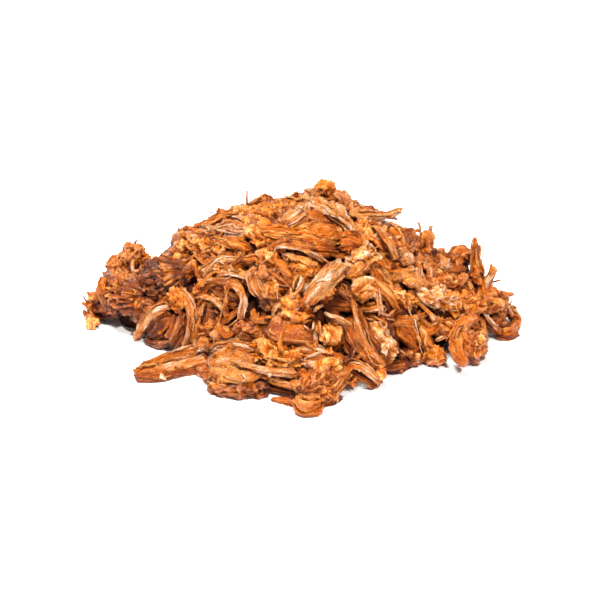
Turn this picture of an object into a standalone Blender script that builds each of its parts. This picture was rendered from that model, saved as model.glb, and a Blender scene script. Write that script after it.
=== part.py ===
"""A heap of pulled pork as it lies on a plain surface: one solid, in metres, +Z up, seen from -Y.

A core follows the bed, which is a few low mounds blended together. The shreds and chunks that show are
curves with a lobed section, laid over the bed, and more of them, placed by a seeded rule, cover the back
and the ends. All of them are fused with the core and cut off flat where the heap meets the ground.
"""

import math

import bmesh
import bpy
import numpy as np
from mathutils import Matrix, Vector, noise

NAME = "pork_heap"
MM = 0.001
SEED = 21

# The bed that the shreds lie on, in millimetres: centre x and y, half width, half depth and height.
MOUNDS = (
    (6, 2, 52, 54, 50),
    (-36, 6, 34, 38, 33),
    (42, 0, 33, 35, 29),
    (-65, 3, 19, 18, 21),
    (72, -1, 17, 18, 17),
    (2, -40, 40, 25, 12),
)
MOUND_SHAPE = 0.7
MOUND_BLEND = 3

# The core: how high it stands over the bed, the bed's height at its edge, how far out and in what steps
# that edge is looked for, how its rings close up outwards, and how deep it goes before it is cut off flat.
CORE_OVER = 1.0
CORE_ROUNDS = 3
CORE_EDGE_HEIGHT = 1.5
CORE_REACH = 110
CORE_STEP = 0.25
CORE_SPREAD = 1.3
UNDER_GROUND = 3.0
CUTTER_SIZE = 400.0

# Where the middle of the heap's box lies from the mounds' own zero, in millimetres.
BOX_MIDDLE = (2.1, -10.7)

# How the heap is seen, in millimetres and in the picture's own 600 x 600 frame.
VIEW_ELEVATION = math.radians(26)
VIEW_DISTANCE = 595
VIEW_TARGET = (0, 0, 10)
VIEW_LENS = 85
SENSOR = 36
PICTURE = 600
BACK_OF_GROUND = 0
BACK_OF_BED = 26
SIGHT_NEAR = 130
SIGHT_FAR = 90
SIGHT_STEP = 0.5

# A shred's section: how many corners, how deep it is for its width, and how uneven.
SECTIONS = {
    "crumb": (5, 0.95, 0.16),
    "muscle": (5, 0.85, 0.10),
    "smooth": (6, 0.90, 0.05),
    "rope": (4, 0.85, 0.04),
    "strip": (4, 0.80, 0.08),
    "flake": (4, 0.42, 0.08),
}
SMALLEST_WIDTH = 3.2
STEP_LENGTH = 13.0
MOST_STEPS = 6
END_LIFT = 0.1
END_TAPER = 0.78
SECTION_SWELL = 1.2
WELD = 0.01

# Lumps in the surface: their size in millimetres, the range of places in the noise, and how high they
# stand for a width of 1.
LUMP_SIZE = 6.0
LUMP_PLACES = 50
LUMP_HEIGHT = {"crumb": 0.32, "muscle": 0.12, "smooth": 0.10, "rope": 0.06, "strip": 0.08, "flake": 0.20}

# The shreds that cover what the list leaves bare, in millimetres: the middle and half sizes of the ground
# they lie on, the line they stay behind (its place at the middle, its fall to the ends and its waver), and
# how they bend, rise, taper and rest on the ground for a length or width of 1.
FILL_MIDDLE = 4
FILL_HALF_WIDTH = 84
FILL_HALF_DEPTH = 60
FILL_LINE = (12, 0.25, 6)
FILL_KINDS = ("muscle", "crumb", "strip")
FILL_POINTS = 5
FILL_BEND = 1.4
FILL_RISE = 0.18
FILL_TAPER = 0.8
FILL_REST = 0.4
STRIP_SHARE = 0.6
FILL_SEED = 22
FILL_COUNT = 38
FILL_LENGTH = (20, 42)
FILL_WIDTH = (6.5, 12.0)
FILL_REACH = (0.25, 1.1)
FILL_OUTSIDE = 9.0

MEAT_COLOUR = (0.51, 0.17, 0.05, 1)
MEAT_ROUGHNESS = 0.45

# Each shred: name, kind, tone, width along it and height over the bed in millimetres, then its path in
# the picture.
SHREDS = (
    # left end: a crusty block with a peak on it, and a hook of meat at its far end
    ("bark_left", "crumb", "brown", (15, 20, 19), 0, (104, 288), (122, 294), (146, 298)),
    ("bark_right", "crumb", "char", (15, 17, 14), 1, (144, 290), (164, 280), (186, 275)),
    ("bark_foot", "crumb", "brown", (7, 9, 7), 1, (128, 309), (142, 314), (158, 310)),
    ("peak_lump", "crumb", "brown", (6, 8, 7, 4), 1, (127, 267), (131, 260), (136, 253), (139, 248)),
    ("peak_side", "flake", "tan", (5, 6, 5), 4, (126, 264), (132, 257), (138, 250)),
    ("peak_block", "crumb", "orange", (5, 6, 4), 2, (138, 254), (142, 260), (148, 266)),
    ("peak_base", "crumb", "orange", (5, 8, 6), 2, (106, 267), (120, 266), (138, 268)),
    ("left_band", "strip", "tan", (3, 4.5, 4), 7, (103, 277), (101, 291), (108, 306)),
    ("left_under", "muscle", "brown", (6, 7, 6), 0, (100, 311), (108, 308), (118, 308)),
    ("hook", "crumb", "orange", (3, 4.4, 4.6, 3.4), 0, (101, 290), (94, 301), (93, 313), (96, 324)),
    ("hook_claw_a", "strip", "orange", (2, 2.2, 1.4), 1, (96, 302), (88, 305), (82, 303)),
    ("hook_claw_b", "strip", "orange", (2, 2, 1.2), 2, (96, 296), (90, 295), (87, 291)),
    ("hook_claw_c", "strip", "brown", (2, 2.4, 1.6), 1, (92, 311), (86, 315), (84, 310)),
    ("hook_inner", "strip", "brown", (3, 4, 3), 0, (98, 292), (101, 302), (104, 311)),
    ("hook_hair_a", "thread", "brown", 0.7, 1, (83, 296), (86, 301), (90, 305)),
    ("hook_hair_b", "thread", "brown", 0.7, 1, (89, 296), (92, 301), (95, 305)),
    # the curled shreds between the block and the log
    ("basket", "muscle", "brown", (7, 9, 8), 0, (152, 336), (162, 328), (175, 318)),
    ("basket_rim", "strip", "brown", (3, 4.5, 3), 2, (146, 340), (158, 344), (173, 341)),
    ("arch_strand", "strip", "pale", (3, 3, 2.8, 2.4), 9,
     (138, 337), (142, 326), (150, 316), (159, 310), (170, 307)),
    ("arch_foot", "crumb", "orange", (3, 4), 3, (137, 331), (142, 337)),
    ("knuckle_left", "crumb", "orange", (5, 6, 4), 4, (172, 293), (179, 300), (181, 312)),
    ("y_strand", "strip", "orange", (1.6, 1.4, 1), 7, (169, 305), (177, 311), (184, 316)),
    ("tall_strand", "strip", "tan", (2.6, 3.2, 3.4, 3.4, 3), 6,
     (180, 289), (188, 299), (191, 315), (189, 332), (185, 348)),
    ("tall_block", "muscle", "brown", (7, 8.5, 7), 2, (184, 316), (180, 331), (176, 346)),
    ("tall_right", "strip", "tan", (2.6, 3, 2.6), 4, (196, 318), (194, 332), (193, 346)),
    # the log that lies in front, and the shreds over its root
    ("log_lower", "rope", "brown", (3.4, 4.2, 4.4, 4.4), 0,
     (136, 378), (158, 377), (182, 371), (206, 368)),
    ("log_front", "rope", "tan", (2.4, 3.8, 4.2, 4.4), 2.5,
     (150, 374), (164, 370), (184, 366), (207, 362)),
    ("log_left", "rope", "orange", (3.2, 3.6, 3.2), 2, (134, 373), (144, 370), (158, 368)),
    ("log_foot", "crumb", "brown", (2.6, 3, 2.6), 1, (197, 370), (203, 375), (206, 381)),
    ("log_upper", "rope", "tan", (2.6, 4, 4.6, 4.8), 4.5, (140, 367), (158, 361), (180, 355), (203, 352)),
    ("log_ridge", "rope", "brown", (1.8, 2.2, 2), 6, (143, 364), (162, 357), (184, 350)),
    ("log_nub", "crumb", "pale", (1.6, 2), 4, (158, 378), (166, 377)),
    ("log_cap", "flake", "pale", (5, 6, 4), 7, (193, 347), (201, 343), (209, 348)),
    # upper left shoulder
    ("shoulder_block", "crumb", "brown", (8, 9, 8), 1, (173, 238), (185, 237), (199, 240)),
    ("shoulder_stick", "muscle", "orange", (1.4, 2.8, 3.2, 3), 4,
     (194, 224), (209, 219), (224, 213), (240, 211)),
    ("shoulder_twig", "strip", "tan", (1.2, 2.2, 2), 4, (199, 229), (211, 225), (223, 221)),
    ("shoulder_hair", "thread", "brown", 0.5, 5, (209, 212), (213, 213), (218, 215)),
    ("shoulder_back", "crumb", "brown", (4, 6, 5), 1, (214, 214), (226, 212), (242, 210)),
    ("orange_bar", "muscle", "orange", (3, 4.6, 4.8, 4), 5,
     (210, 243), (224, 242), (238, 245), (250, 250)),
    ("orange_bar_root", "crumb", "orange", (5, 5.5, 5), 4, (178, 249), (192, 247), (210, 244)),
    ("folded_dome", "muscle", "tan", (5, 7.5, 8, 6), 3, (214, 234), (226, 231), (240, 232), (253, 230)),
    ("dome_lip", "strip", "tan", (1.6, 2.4, 2), 6, (220, 238), (236, 239), (250, 236)),
    ("glazed_crumbs", "crumb", "brown", (5, 6, 5), 1, (204, 256), (215, 254), (229, 251)),
    ("fork_long", "strip", "orange", (1.2, 2.2, 2.4), 6, (193, 252), (200, 259), (209, 267)),
    ("fork_short", "strip", "orange", (2, 2.6, 2), 5, (191, 260), (196, 270), (200, 280)),
    ("sickle", "strip", "pale", (4.4, 3, 2.6, 2.2), 8, (203, 276), (210, 268), (221, 260), (237, 259)),
    ("sickle_end", "strip", "orange", (2, 2.6, 3), 7, (239, 261), (251, 259), (263, 259)),
    ("fan_top", "muscle", "tan", (4, 6, 5), 4, (205, 278), (222, 272), (246, 279)),
    ("fan_hair", "strip", "pale", (1, 1.5, 1), 7, (214, 275), (230, 274), (248, 278)),
    ("fan_plate", "muscle", "brown", (6, 8, 7), 2, (204, 291), (222, 296), (241, 302)),
    ("fan_strand", "strip", "tan", (4.4, 4, 3.4, 3.4, 2.8), 8,
     (197, 284), (216, 281), (233, 284), (243, 297), (241, 321)),
    ("fan_inner", "strip", "orange", (2, 3, 2), 5, (222, 290), (232, 293), (240, 300)),
    ("fold_strand", "strip", "pale", (2.6, 3, 2.8, 2.2), 7,
     (193, 299), (202, 296), (216, 302), (226, 315)),
    ("fold_inside", "crumb", "brown", (5, 6, 5), 0, (201, 307), (212, 311), (224, 315)),
    ("cross_strand", "strip", "tan", (2.4, 2.6, 2.2), 5, (212, 327), (224, 320), (242, 307)),
    ("cross_hair", "thread", "pale", 0.9, 8, (227, 328), (237, 320), (246, 311)),
    ("low_needle", "thread", "pale", 0.9, 7, (194, 336), (202, 334), (208, 332)),
    ("pale_blob", "smooth", "tan", (5, 6.5, 5.5), 4, (210, 334), (221, 333), (233, 334)),
    ("orange_blob", "crumb", "brown", (6, 8, 6), 3, (235, 333), (247, 329), (262, 330)),
    ("curled_knot", "strip", "tan", (2.6, 3, 2.6), 5, (252, 311), (257, 319), (267, 318)),
    # the swirl and the crumbs in the middle
    ("swirl_left", "strip", "tan", (2, 3.4, 3.2, 2), 6, (257, 264), (252, 277), (255, 290), (263, 299)),
    ("swirl_heart", "muscle", "brown", (5, 6, 5), 3, (263, 268), (260, 280), (265, 292)),
    ("swirl_rib", "strip", "pale", (1.6, 2, 1.4), 7, (261, 270), (259, 281), (265, 287)),
    ("swirl_curl", "crumb", "orange", (5, 6.5, 5), 5, (276, 283), (271, 291), (279, 296)),
    ("swirl_top", "crumb", "orange", (3.6, 4.6, 4), 6, (257, 263), (264, 255), (276, 263)),
    ("bridge", "smooth", "orange", (4, 5.4, 4.6), 4, (275, 261), (284, 268), (292, 279)),
    ("crumb_ridge", "crumb", "orange", (6, 7.5, 6), 5, (289, 264), (303, 268), (316, 278)),
    ("dark_fibres", "muscle", "brown", (5, 6, 5), 1, (273, 272), (281, 281), (290, 289)),
    ("tusk", "strip", "pale", (0.8, 1.6, 2, 2.4), 9, (303, 275), (302, 285), (296, 293), (285, 298)),
    ("prong_a", "strip", "pale", (1.2, 1.6, 1.6), 8, (272, 318), (276, 308), (285, 300)),
    ("prong_b", "strip", "pale", (2.2, 3.2, 3), 8, (287, 317), (293, 308), (301, 300)),
    ("middle_crumbs", "crumb", "orange", (7, 8, 7), 4, (280, 309), (295, 311), (312, 316)),
    ("dark_crumbs", "crumb", "char", (5, 6, 5), 0, (262, 303), (271, 302), (282, 304)),
    ("small_prongs", "strip", "tan", (1.4, 1.6, 1.2), 6, (262, 320), (269, 317), (274, 319)),
    ("grey_lozenge", "smooth", "brown", (6, 9, 9, 5), 4, (264, 330), (280, 332), (298, 334), (316, 340)),
    ("lozenge_top", "crumb", "brown", (4, 6, 4), 4, (272, 322), (286, 321), (302, 324)),
    ("hair_tuft_a", "thread", "pale", 0.8, 8, (302, 324), (307, 328), (311, 331)),
    ("hair_tuft_b", "thread", "pale", 0.8, 8, (311, 332), (313, 327), (314, 321)),
    ("stub_upright", "strip", "tan", (2.2, 2.8, 2.4), 6, (318, 337), (319, 329), (317, 321)),
    ("brown_nut", "crumb", "orange", (6, 8, 7), 4, (327, 325), (330, 335), (330, 346)),
    # crest
    ("spike", "strip", "orange", (0.9, 1.3, 1.4), 3, (247, 190), (247, 197), (247, 205)),
    ("crest_left", "crumb", "tan", (5, 6.5, 6), 2, (231, 213), (245, 210), (262, 210)),
    ("crest_left_low", "muscle", "tan", (5, 6.5, 5), 3, (222, 223), (236, 219), (252, 224)),
    ("crest_wedge", "muscle", "tan", (2, 2.6, 2), 3, (249, 204), (256, 200), (263, 198)),
    ("crest_knob", "crumb", "char", (4, 4.4, 3.4), 2, (266, 203), (267, 199), (268, 196)),
    ("twig", "strip", "brown", (1.6, 1.8, 2), 3, (271, 203), (285, 199), (298, 194)),
    ("twig_knob", "crumb", "brown", (1.6, 2.2), 3, (293, 192), (299, 194)),
    ("twig_hair", "thread", "tan", 0.6, 4, (299, 191), (304, 190), (310, 193)),
    ("twig_low", "strip", "orange", (1.6, 2.2, 2), 3, (274, 208), (287, 204), (299, 203)),
    ("crest_crumbs", "crumb", "tan", (6, 7, 6), 3, (250, 215), (266, 212), (284, 213)),
    ("left_curl", "crumb", "orange", (4, 4.6, 3.6), 5, (251, 230), (257, 238), (268, 246)),
    ("long_plate", "muscle", "tan", (6, 7.5, 8, 7), 3, (262, 234), (284, 236), (310, 239), (336, 243)),
    ("long_plate_low", "smooth", "brown", (4, 6, 7, 5), 2,
     (276, 242), (298, 244), (318, 246), (336, 252)),
    ("pale_wave", "strip", "pale", (1.6, 2.2, 2, 1.4), 7, (272, 248), (286, 246), (304, 250), (323, 261)),
    ("low_wave", "strip", "tan", (1.8, 2.2, 2), 5, (282, 252), (296, 258), (312, 260)),
    ("wave_hair", "thread", "pale", 0.9, 8, (300, 250), (316, 254), (330, 264)),
    ("wave_shadow", "muscle", "brown", (4, 5, 4), 1, (284, 256), (300, 262), (322, 266)),
    ("apex_block", "crumb", "orange", (6, 7.5, 6), 1, (317, 193), (326, 189), (335, 190)),
    ("apex_wing", "flake", "tan", (5, 5, 2), 2, (312, 198), (316, 191), (319, 185)),
    ("apex_right", "crumb", "brown", (6, 6.5, 5), 1, (334, 197), (343, 201), (350, 209)),
    ("apex_bud", "crumb", "brown", (2.4, 2), 2, (342, 196), (347, 193)),
    ("apex_fin", "crumb", "brown", (4.4, 3.6, 2), 2, (352, 213), (354, 206), (353, 200)),
    ("arch", "muscle", "pale", (3.4, 6, 7, 6.4, 5), 7,
     (297, 201), (314, 204), (330, 210), (344, 220), (356, 232)),
    ("arch_shadow", "smooth", "brown", (4, 5, 4), 1, (303, 214), (317, 217), (333, 221)),
    ("left_slab", "muscle", "pale", (6, 8, 6.5, 5), 4, (284, 228), (295, 221), (302, 213), (308, 206)),
    ("leaf", "flake", "orange", (4, 6.4, 6.4, 4), 8, (308, 234), (317, 230), (328, 231), (339, 235)),
    ("wedge_flake", "flake", "orange", (1.6, 3, 3.6), 8, (337, 239), (345, 234), (354, 231)),
    ("stick_right", "muscle", "pale", (3.6, 3.8, 3.4, 1.6), 8,
     (350, 213), (368, 215), (385, 214), (401, 209)),
    ("stick_prong", "strip", "orange", (2, 2, 1.8), 8, (380, 216), (389, 217), (397, 219)),
    ("under_stick", "crumb", "char", (5, 6, 5), 0, (357, 224), (374, 224), (392, 226)),
    ("behind_stick", "crumb", "brown", (2, 3.4, 2), 0, (360, 210), (370, 208), (378, 211)),
    # right of the middle
    ("finger", "strip", "pale", (2.2, 2.8, 2.8, 2.6), 9, (377, 228), (384, 237), (391, 246), (395, 256)),
    ("finger_right", "strip", "orange", (2.4, 2.8, 2.4), 7, (390, 229), (399, 237), (404, 250)),
    ("finger_left", "strip", "orange", (1.8, 2.4, 2), 7, (369, 238), (378, 243), (386, 251)),
    ("finger_bed", "crumb", "orange", (6, 8, 7), 3, (372, 236), (384, 246), (393, 258)),
    ("fan_pale", "muscle", "orange", (5, 7, 6), 5, (340, 247), (350, 245), (361, 251)),
    ("fan_upright", "strip", "pale", (1.8, 2.6, 2), 8, (363, 252), (365, 244), (368, 237)),
    ("mid_mass", "crumb", "tan", (7, 8.5, 7), 4, (348, 258), (362, 260), (376, 254)),
    ("mid_plate", "smooth", "tan", (4, 5.4, 4), 6, (345, 275), (356, 271), (368, 264)),
    ("long_pale_strip", "muscle", "pale", (5, 6.4, 7, 6, 3), 10,
     (343, 265), (330, 278), (318, 290), (309, 300), (305, 306)),
    ("strip_root", "strip", "pale", (1.6, 2.6, 2.4), 8, (298, 291), (311, 287), (325, 279)),
    ("strip_tail", "strip", "pale", (1.2, 1.8, 1.4), 9, (313, 312), (318, 308), (323, 305)),
    ("strip_flank", "crumb", "orange", (2.4, 3.4, 2.6), 7, (320, 303), (328, 293), (336, 282)),
    ("needle", "strip", "pale", (1.2, 1.8, 1.8), 9, (324, 313), (337, 318), (351, 324)),
    ("dark_hang", "muscle", "brown", (6, 7, 6), 0, (336, 286), (342, 296), (348, 305)),
    ("square_block", "crumb", "tan", (7, 8, 7), 5, (354, 296), (364, 289), (376, 289)),
    ("block_prong", "strip", "pale", (1.4, 1.8, 1.6), 9, (361, 303), (366, 296), (375, 291)),
    ("right_ridge", "muscle", "orange", (4, 5.4, 5, 4), 6,
     (370, 279), (381, 289), (390, 299), (396, 309)),
    ("upper_mid", "muscle", "orange", (4, 5.4, 5), 4, (369, 263), (378, 275), (386, 289)),
    ("cross_fibre", "strip", "tan", (0.8, 1.2, 1), 9, (352, 280), (363, 269), (375, 257)),
    ("grey_tube", "smooth", "tan", (3.6, 4.4, 4.4), 4, (389, 279), (401, 275), (414, 271)),
    ("right_knob", "smooth", "tan", (4.4, 5.4, 4.4), 5, (401, 258), (407, 260), (413, 263)),
    ("dark_lump", "smooth", "char", (5, 6, 4), 2, (407, 231), (409, 240), (408, 250)),
    ("ear", "muscle", "tan", (6, 6.4, 5.4), 3, (424, 251), (427, 240), (427, 229)),
    ("ear_tip_left", "strip", "tan", (1.8, 1), 4, (421, 230), (418, 222)),
    ("ear_tip_right", "strip", "tan", (2, 1.4), 3, (430, 232), (431, 225)),
    ("ear_diagonal", "strip", "tan", (1.8, 2.4, 2), 6, (411, 251), (419, 244), (427, 238)),
    ("ear_hollow", "smooth", "char", (5, 6, 5), 1, (419, 258), (428, 256), (437, 254)),
    ("ear_lip", "crumb", "brown", (3, 3.4, 2.6), 3, (434, 263), (440, 256), (440, 247)),
    ("gap_twig", "strip", "brown", (1.6, 1.8, 1.6), 2, (438, 266), (446, 257), (453, 254)),
    ("back_block", "crumb", "brown", (5, 7, 7, 5), 1, (448, 265), (456, 261), (463, 260), (472, 266)),
    ("back_block_root", "crumb", "brown", (5, 6, 5), 1, (434, 268), (450, 268), (468, 270)),
    ("tall_spike", "muscle", "orange", (5, 5, 5, 4, 1.6), 6,
     (484, 296), (481, 278), (480, 263), (479, 250), (477, 237)),
    ("spike_twin", "strip", "orange", (2, 1.2), 7, (483, 250), (484, 240)),
    ("stub", "muscle", "tan", (3.4, 4, 4.4), 6, (488, 290), (493, 279), (497, 267)),
    ("stub_twig", "thread", "orange", 0.9, 3, (491, 283), (496, 281), (501, 280)),
    ("lace_a", "strip", "orange", (1.8, 2.2, 2.2, 2), 6, (430, 283), (441, 280), (449, 272), (466, 271)),
    ("lace_b", "strip", "orange", (1.8, 2.2, 2), 6, (447, 284), (459, 278), (475, 274)),
    ("lace_c", "strip", "tan", (2, 2.4, 2), 6, (416, 262), (419, 271), (418, 282)),
    ("lace_d", "strip", "tan", (2, 2.4, 2), 6, (420, 266), (428, 268), (430, 278)),
    ("lace_bed", "crumb", "brown", (6, 8, 7), 2, (424, 276), (446, 284), (470, 285)),
    ("lace_e", "strip", "orange", (1.6, 2, 1.6), 6, (462, 280), (470, 285), (474, 293)),
    ("knuckle", "smooth", "orange", (3.4, 4.4, 4, 3), 8, (405, 286), (410, 281), (419, 284), (430, 291)),
    ("long_mass_a", "crumb", "tan", (7, 9, 9), 5, (414, 293), (432, 297), (452, 304)),
    ("long_mass_b", "crumb", "orange", (8, 10, 9), 5, (442, 303), (462, 306), (482, 302)),
    ("right_bark", "crumb", "brown", (8, 10, 8), 3, (482, 298), (494, 301), (504, 309)),
    ("bark_fin", "flake", "orange", (3, 3, 1.6), 4, (503, 291), (508, 294), (514, 294)),
    ("bark_fin_low", "strip", "brown", (1.6, 1), 3, (508, 304), (517, 308)),
    ("curl_ring", "strip", "orange", (2.6, 3, 3.2, 3.2, 3), 1,
     (500, 313), (511, 312), (518, 321), (513, 332), (500, 335)),
    ("curl_edge", "strip", "brown", (1.8, 2.2, 1.8), 1, (497, 336), (508, 338), (519, 335)),
    ("curl_root", "muscle", "brown", (5, 5, 3), 1, (482, 322), (490, 327), (497, 332)),
    # lower right
    ("lobe_body", "smooth", "orange", (9, 12, 12.4, 10), 0,
     (475, 322), (470, 335), (468, 348), (470, 358)),
    ("lobe_fold_a", "rope", "pale", (1.8, 2.6, 2.2), 12, (468, 318), (459, 329), (457, 343), (461, 357)),
    ("lobe_fold_b", "rope", "tan", (1.8, 2.4, 2), 13, (474, 320), (465, 331), (463, 344), (467, 358)),
    ("lobe_crumbs", "crumb", "tan", (2.6, 3, 2.8), 13, (478, 330), (478, 343), (475, 357)),
    ("lobe_strand_a", "strip", "tan", (1.6, 2, 1.6), 6, (482, 311), (490, 321), (499, 331)),
    ("lobe_strand_b", "strip", "tan", (1.8, 2.2, 1.6), 6, (480, 317), (484, 330), (487, 342)),
    ("dark_plate", "muscle", "char", (4, 5, 4), 2, (397, 303), (405, 308), (413, 314)),
    ("left_mass", "crumb", "orange", (4, 6, 5), 5, (388, 295), (400, 296), (415, 307)),
    ("cross_twig", "strip", "tan", (1.6, 2.4, 2, 1.4), 8, (391, 325), (403, 321), (415, 317), (429, 312)),
    ("hang_one", "muscle", "orange", (5, 7, 7.4, 6.4), 5, (396, 317), (403, 327), (410, 338), (416, 348)),
    ("hang_two", "muscle", "orange", (4, 5.4, 6, 6), 4, (418, 323), (424, 335), (430, 348), (434, 356)),
    ("hang_two_foot", "crumb", "orange", (6, 8, 6), 1, (428, 352), (434, 357), (435, 362)),
    ("hang_three", "muscle", "tan", (4, 5, 4), 3, (435, 320), (438, 329), (442, 338)),
    ("hang_crumbs", "crumb", "tan", (3, 5, 4), 4, (442, 322), (447, 325), (450, 328)),
    ("low_twig", "strip", "pale", (1.4, 1.8, 1.4), 7, (435, 341), (443, 337), (450, 332)),
    ("low_brown", "crumb", "brown", (5, 6.4, 5), 1, (398, 355), (410, 357), (422, 358)),
    ("low_pin", "thread", "pale", 1.0, 6, (400, 350), (409, 357), (419, 363)),
    ("floor_plate", "muscle", "brown", (3, 4, 3), 0, (384, 366), (396, 367), (410, 364)),
    ("rocky_block", "crumb", "tan", (7, 8.5, 9, 7.5), 5, (371, 324), (378, 335), (385, 347), (392, 357)),
    ("rocky_left", "muscle", "brown", (3, 4, 3), 6, (366, 322), (373, 340), (384, 358)),
    ("squiggle_a", "thread", "pale", 0.8, 9, (374, 316), (380, 320), (387, 323)),
    ("squiggle_b", "thread", "pale", 0.7, 9, (366, 318), (369, 319), (373, 320)),
    ("squiggle_c", "thread", "pale", 0.7, 9, (384, 317), (389, 319), (395, 320)),
    ("small_block", "muscle", "tan", (4, 4.6, 4), 5, (364, 309), (372, 309), (380, 307)),
    ("rope_pale", "strip", "tan", (1.4, 2.2, 2.8, 3, 2.4), 8,
     (351, 298), (356, 317), (361, 334), (370, 350), (385, 368)),
    ("rope_mid", "muscle", "brown", (3, 3.4, 3.6, 3), 6, (349, 318), (353, 336), (362, 352), (380, 371)),
    ("rope_dark", "muscle", "brown", (3, 3.8, 4, 3), 3, (342, 326), (347, 343), (356, 358), (374, 373)),
    ("rope_right", "strip", "orange", (2, 2.4, 2.4), 7, (359, 308), (363, 328), (372, 345)),
    ("rope_end", "crumb", "orange", (3, 4, 3), 3, (377, 369), (382, 373), (384, 378)),
    # front
    ("orange_leaf", "flake", "orange", (2, 4, 5, 4), 7, (324, 348), (329, 354), (337, 358), (346, 359)),
    ("back_bar", "muscle", "tan", (2.4, 3, 3), 5, (289, 348), (305, 348), (322, 350)),
    ("orange_slab", "crumb", "orange", (8, 9.5, 8, 6), 4, (256, 356), (272, 354), (288, 358), (306, 361)),
    ("slab_right", "muscle", "tan", (5, 6, 4), 5, (302, 361), (313, 361), (326, 361)),
    ("hump", "muscle", "tan", (5, 6, 5.4, 4), 5, (211, 350), (224, 345), (240, 345), (254, 350)),
    ("hump_left", "smooth", "tan", (5.4, 6.4, 5.4), 4, (213, 371), (216, 361), (222, 353)),
    ("hump_core", "smooth", "tan", (7, 8.5, 7), 2, (216, 366), (230, 362), (246, 363)),
    ("hump_hollow", "smooth", "brown", (4, 4.6, 4), 2, (236, 359), (245, 358), (255, 359)),
    ("hump_arc", "strip", "orange", (1.6, 2.2, 1.8), 6, (231, 360), (237, 353), (249, 352)),
    ("long_bar", "rope", "pale", (2.4, 3.2, 3.2, 2.8), 8, (230, 362), (250, 367), (272, 371), (295, 373)),
    ("under_bar", "muscle", "tan", (3, 4, 3.4), 4, (228, 369), (250, 373), (272, 377)),
    ("pale_flap", "flake", "pale", (4, 6.8, 6.6, 3.8), 9, (211, 378), (227, 379), (243, 381), (262, 378)),
    ("low_bark", "crumb", "brown", (5, 6.4, 6.4, 5.4), 0, (205, 383), (223, 389), (245, 391), (270, 388)),
    ("low_bark_tip", "crumb", "tan", (2, 3), 1, (203, 382), (212, 380)),
    ("tail_strand", "strip", "tan", (2.4, 2.8, 3), 4, (266, 375), (281, 380), (296, 386)),
    ("inner_brown", "smooth", "brown", (4, 5, 4), 1, (296, 374), (304, 375), (312, 375)),
    ("inner_hair", "thread", "pale", 0.8, 8, (305, 359), (308, 364), (312, 370)),
    ("clump", "crumb", "tan", (8, 11, 11, 7), 3, (303, 394), (316, 387), (330, 378), (343, 369)),
    ("clump_top", "crumb", "orange", (4, 6, 5), 6, (314, 374), (327, 369), (340, 367)),
    ("clump_left", "smooth", "tan", (3.4, 5, 5), 4, (289, 383), (298, 386), (305, 392)),
    ("clump_strand_a", "strip", "orange", (2, 2.8, 2.6, 2), 8,
     (318, 401), (331, 390), (343, 376), (353, 364)),
    ("clump_strand_b", "strip", "tan", (1.6, 2, 1.8), 6, (325, 402), (337, 391), (351, 374)),
    ("clump_keel", "muscle", "tan", (4.4, 6.4, 5), 2, (295, 401), (306, 407), (322, 403)),
    ("pale_tab", "flake", "pale", (3.6, 4.4, 3), 7, (299, 393), (304, 397), (310, 402)),
    ("sliver", "strip", "orange", (1.4, 2.4, 2.6), 0, (272, 397), (286, 397), (300, 402)),
    ("front_bit", "strip", "orange", (1.6, 2, 1.8), 0, (324, 405), (334, 402), (341, 398)),
    ("leg", "strip", "tan", (2.8, 3.4, 3.4, 3), 5, (345, 366), (358, 366), (370, 373), (380, 382)),
    ("leg_under", "muscle", "brown", (2, 2.8, 2.4), 1, (350, 373), (364, 378), (378, 385)),
    ("small_bit", "crumb", "orange", (2, 2.6), 1, (345, 385), (357, 381)),
)


def clear_scene():
    for thing in list(bpy.data.objects):
        bpy.data.objects.remove(thing, do_unlink=True)


def bed_height(x, y):
    """Height of the bed at x, y in millimetres, and below zero outside it, falling with the distance."""
    inside = np.zeros(np.shape(x))
    outside = np.full(np.shape(x), -1e9)
    for cx, cy, half_width, half_depth, height in MOUNDS:
        left = 1 - ((x - cx) / half_width) ** 2 - ((y - cy) / half_depth) ** 2
        inside = inside + (height * np.clip(left, 0, 1) ** MOUND_SHAPE) ** MOUND_BLEND
        outside = np.maximum(outside, height * left)
    return np.where(inside > 0, inside ** (1 / MOUND_BLEND), np.minimum(outside, 0))


def view_frame():
    """The eye, and the view's forward, right and up directions."""
    forward = np.array([0, math.cos(VIEW_ELEVATION), -math.sin(VIEW_ELEVATION)])
    up = np.array([0, math.sin(VIEW_ELEVATION), math.cos(VIEW_ELEVATION)])
    eye = np.array(VIEW_TARGET) - VIEW_DISTANCE * forward
    return eye, forward, np.array([1.0, 0, 0]), up


def seen_point(pixel, half, lift):
    """The point of the heap under a pixel of the picture, with the shred's half depth on the ground.

    The line of sight is followed to the bed or to the ground in front of it. One that passes over both
    stops where it comes closest to the bed. The point is then lifted towards the eye.
    """
    eye, forward, right, up = view_frame()
    focal = VIEW_LENS / SENSOR * PICTURE
    ray = forward + right * (pixel[0] - PICTURE / 2) / focal - up * (pixel[1] - PICTURE / 2) / focal
    ray = ray / np.linalg.norm(ray)
    steps = np.arange(VIEW_DISTANCE - SIGHT_NEAR, VIEW_DISTANCE + SIGHT_FAR, SIGHT_STEP)
    points = eye + steps[:, None] * ray
    bed = bed_height(points[:, 0], points[:, 1])
    over = points[:, 2] - np.maximum(bed, half)
    hit = int(np.argmax(over < 0))
    on_ground = bed[hit] <= half and points[hit, 1] > BACK_OF_GROUND
    if over[hit] >= 0 or on_ground or points[hit, 1] > BACK_OF_BED:
        near = np.where(np.abs(points[:, 1]) < BACK_OF_BED, bed - points[:, 2], -1e9)
        hit = int(np.argmax(near))
    return points[hit] - ray * lift


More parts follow.
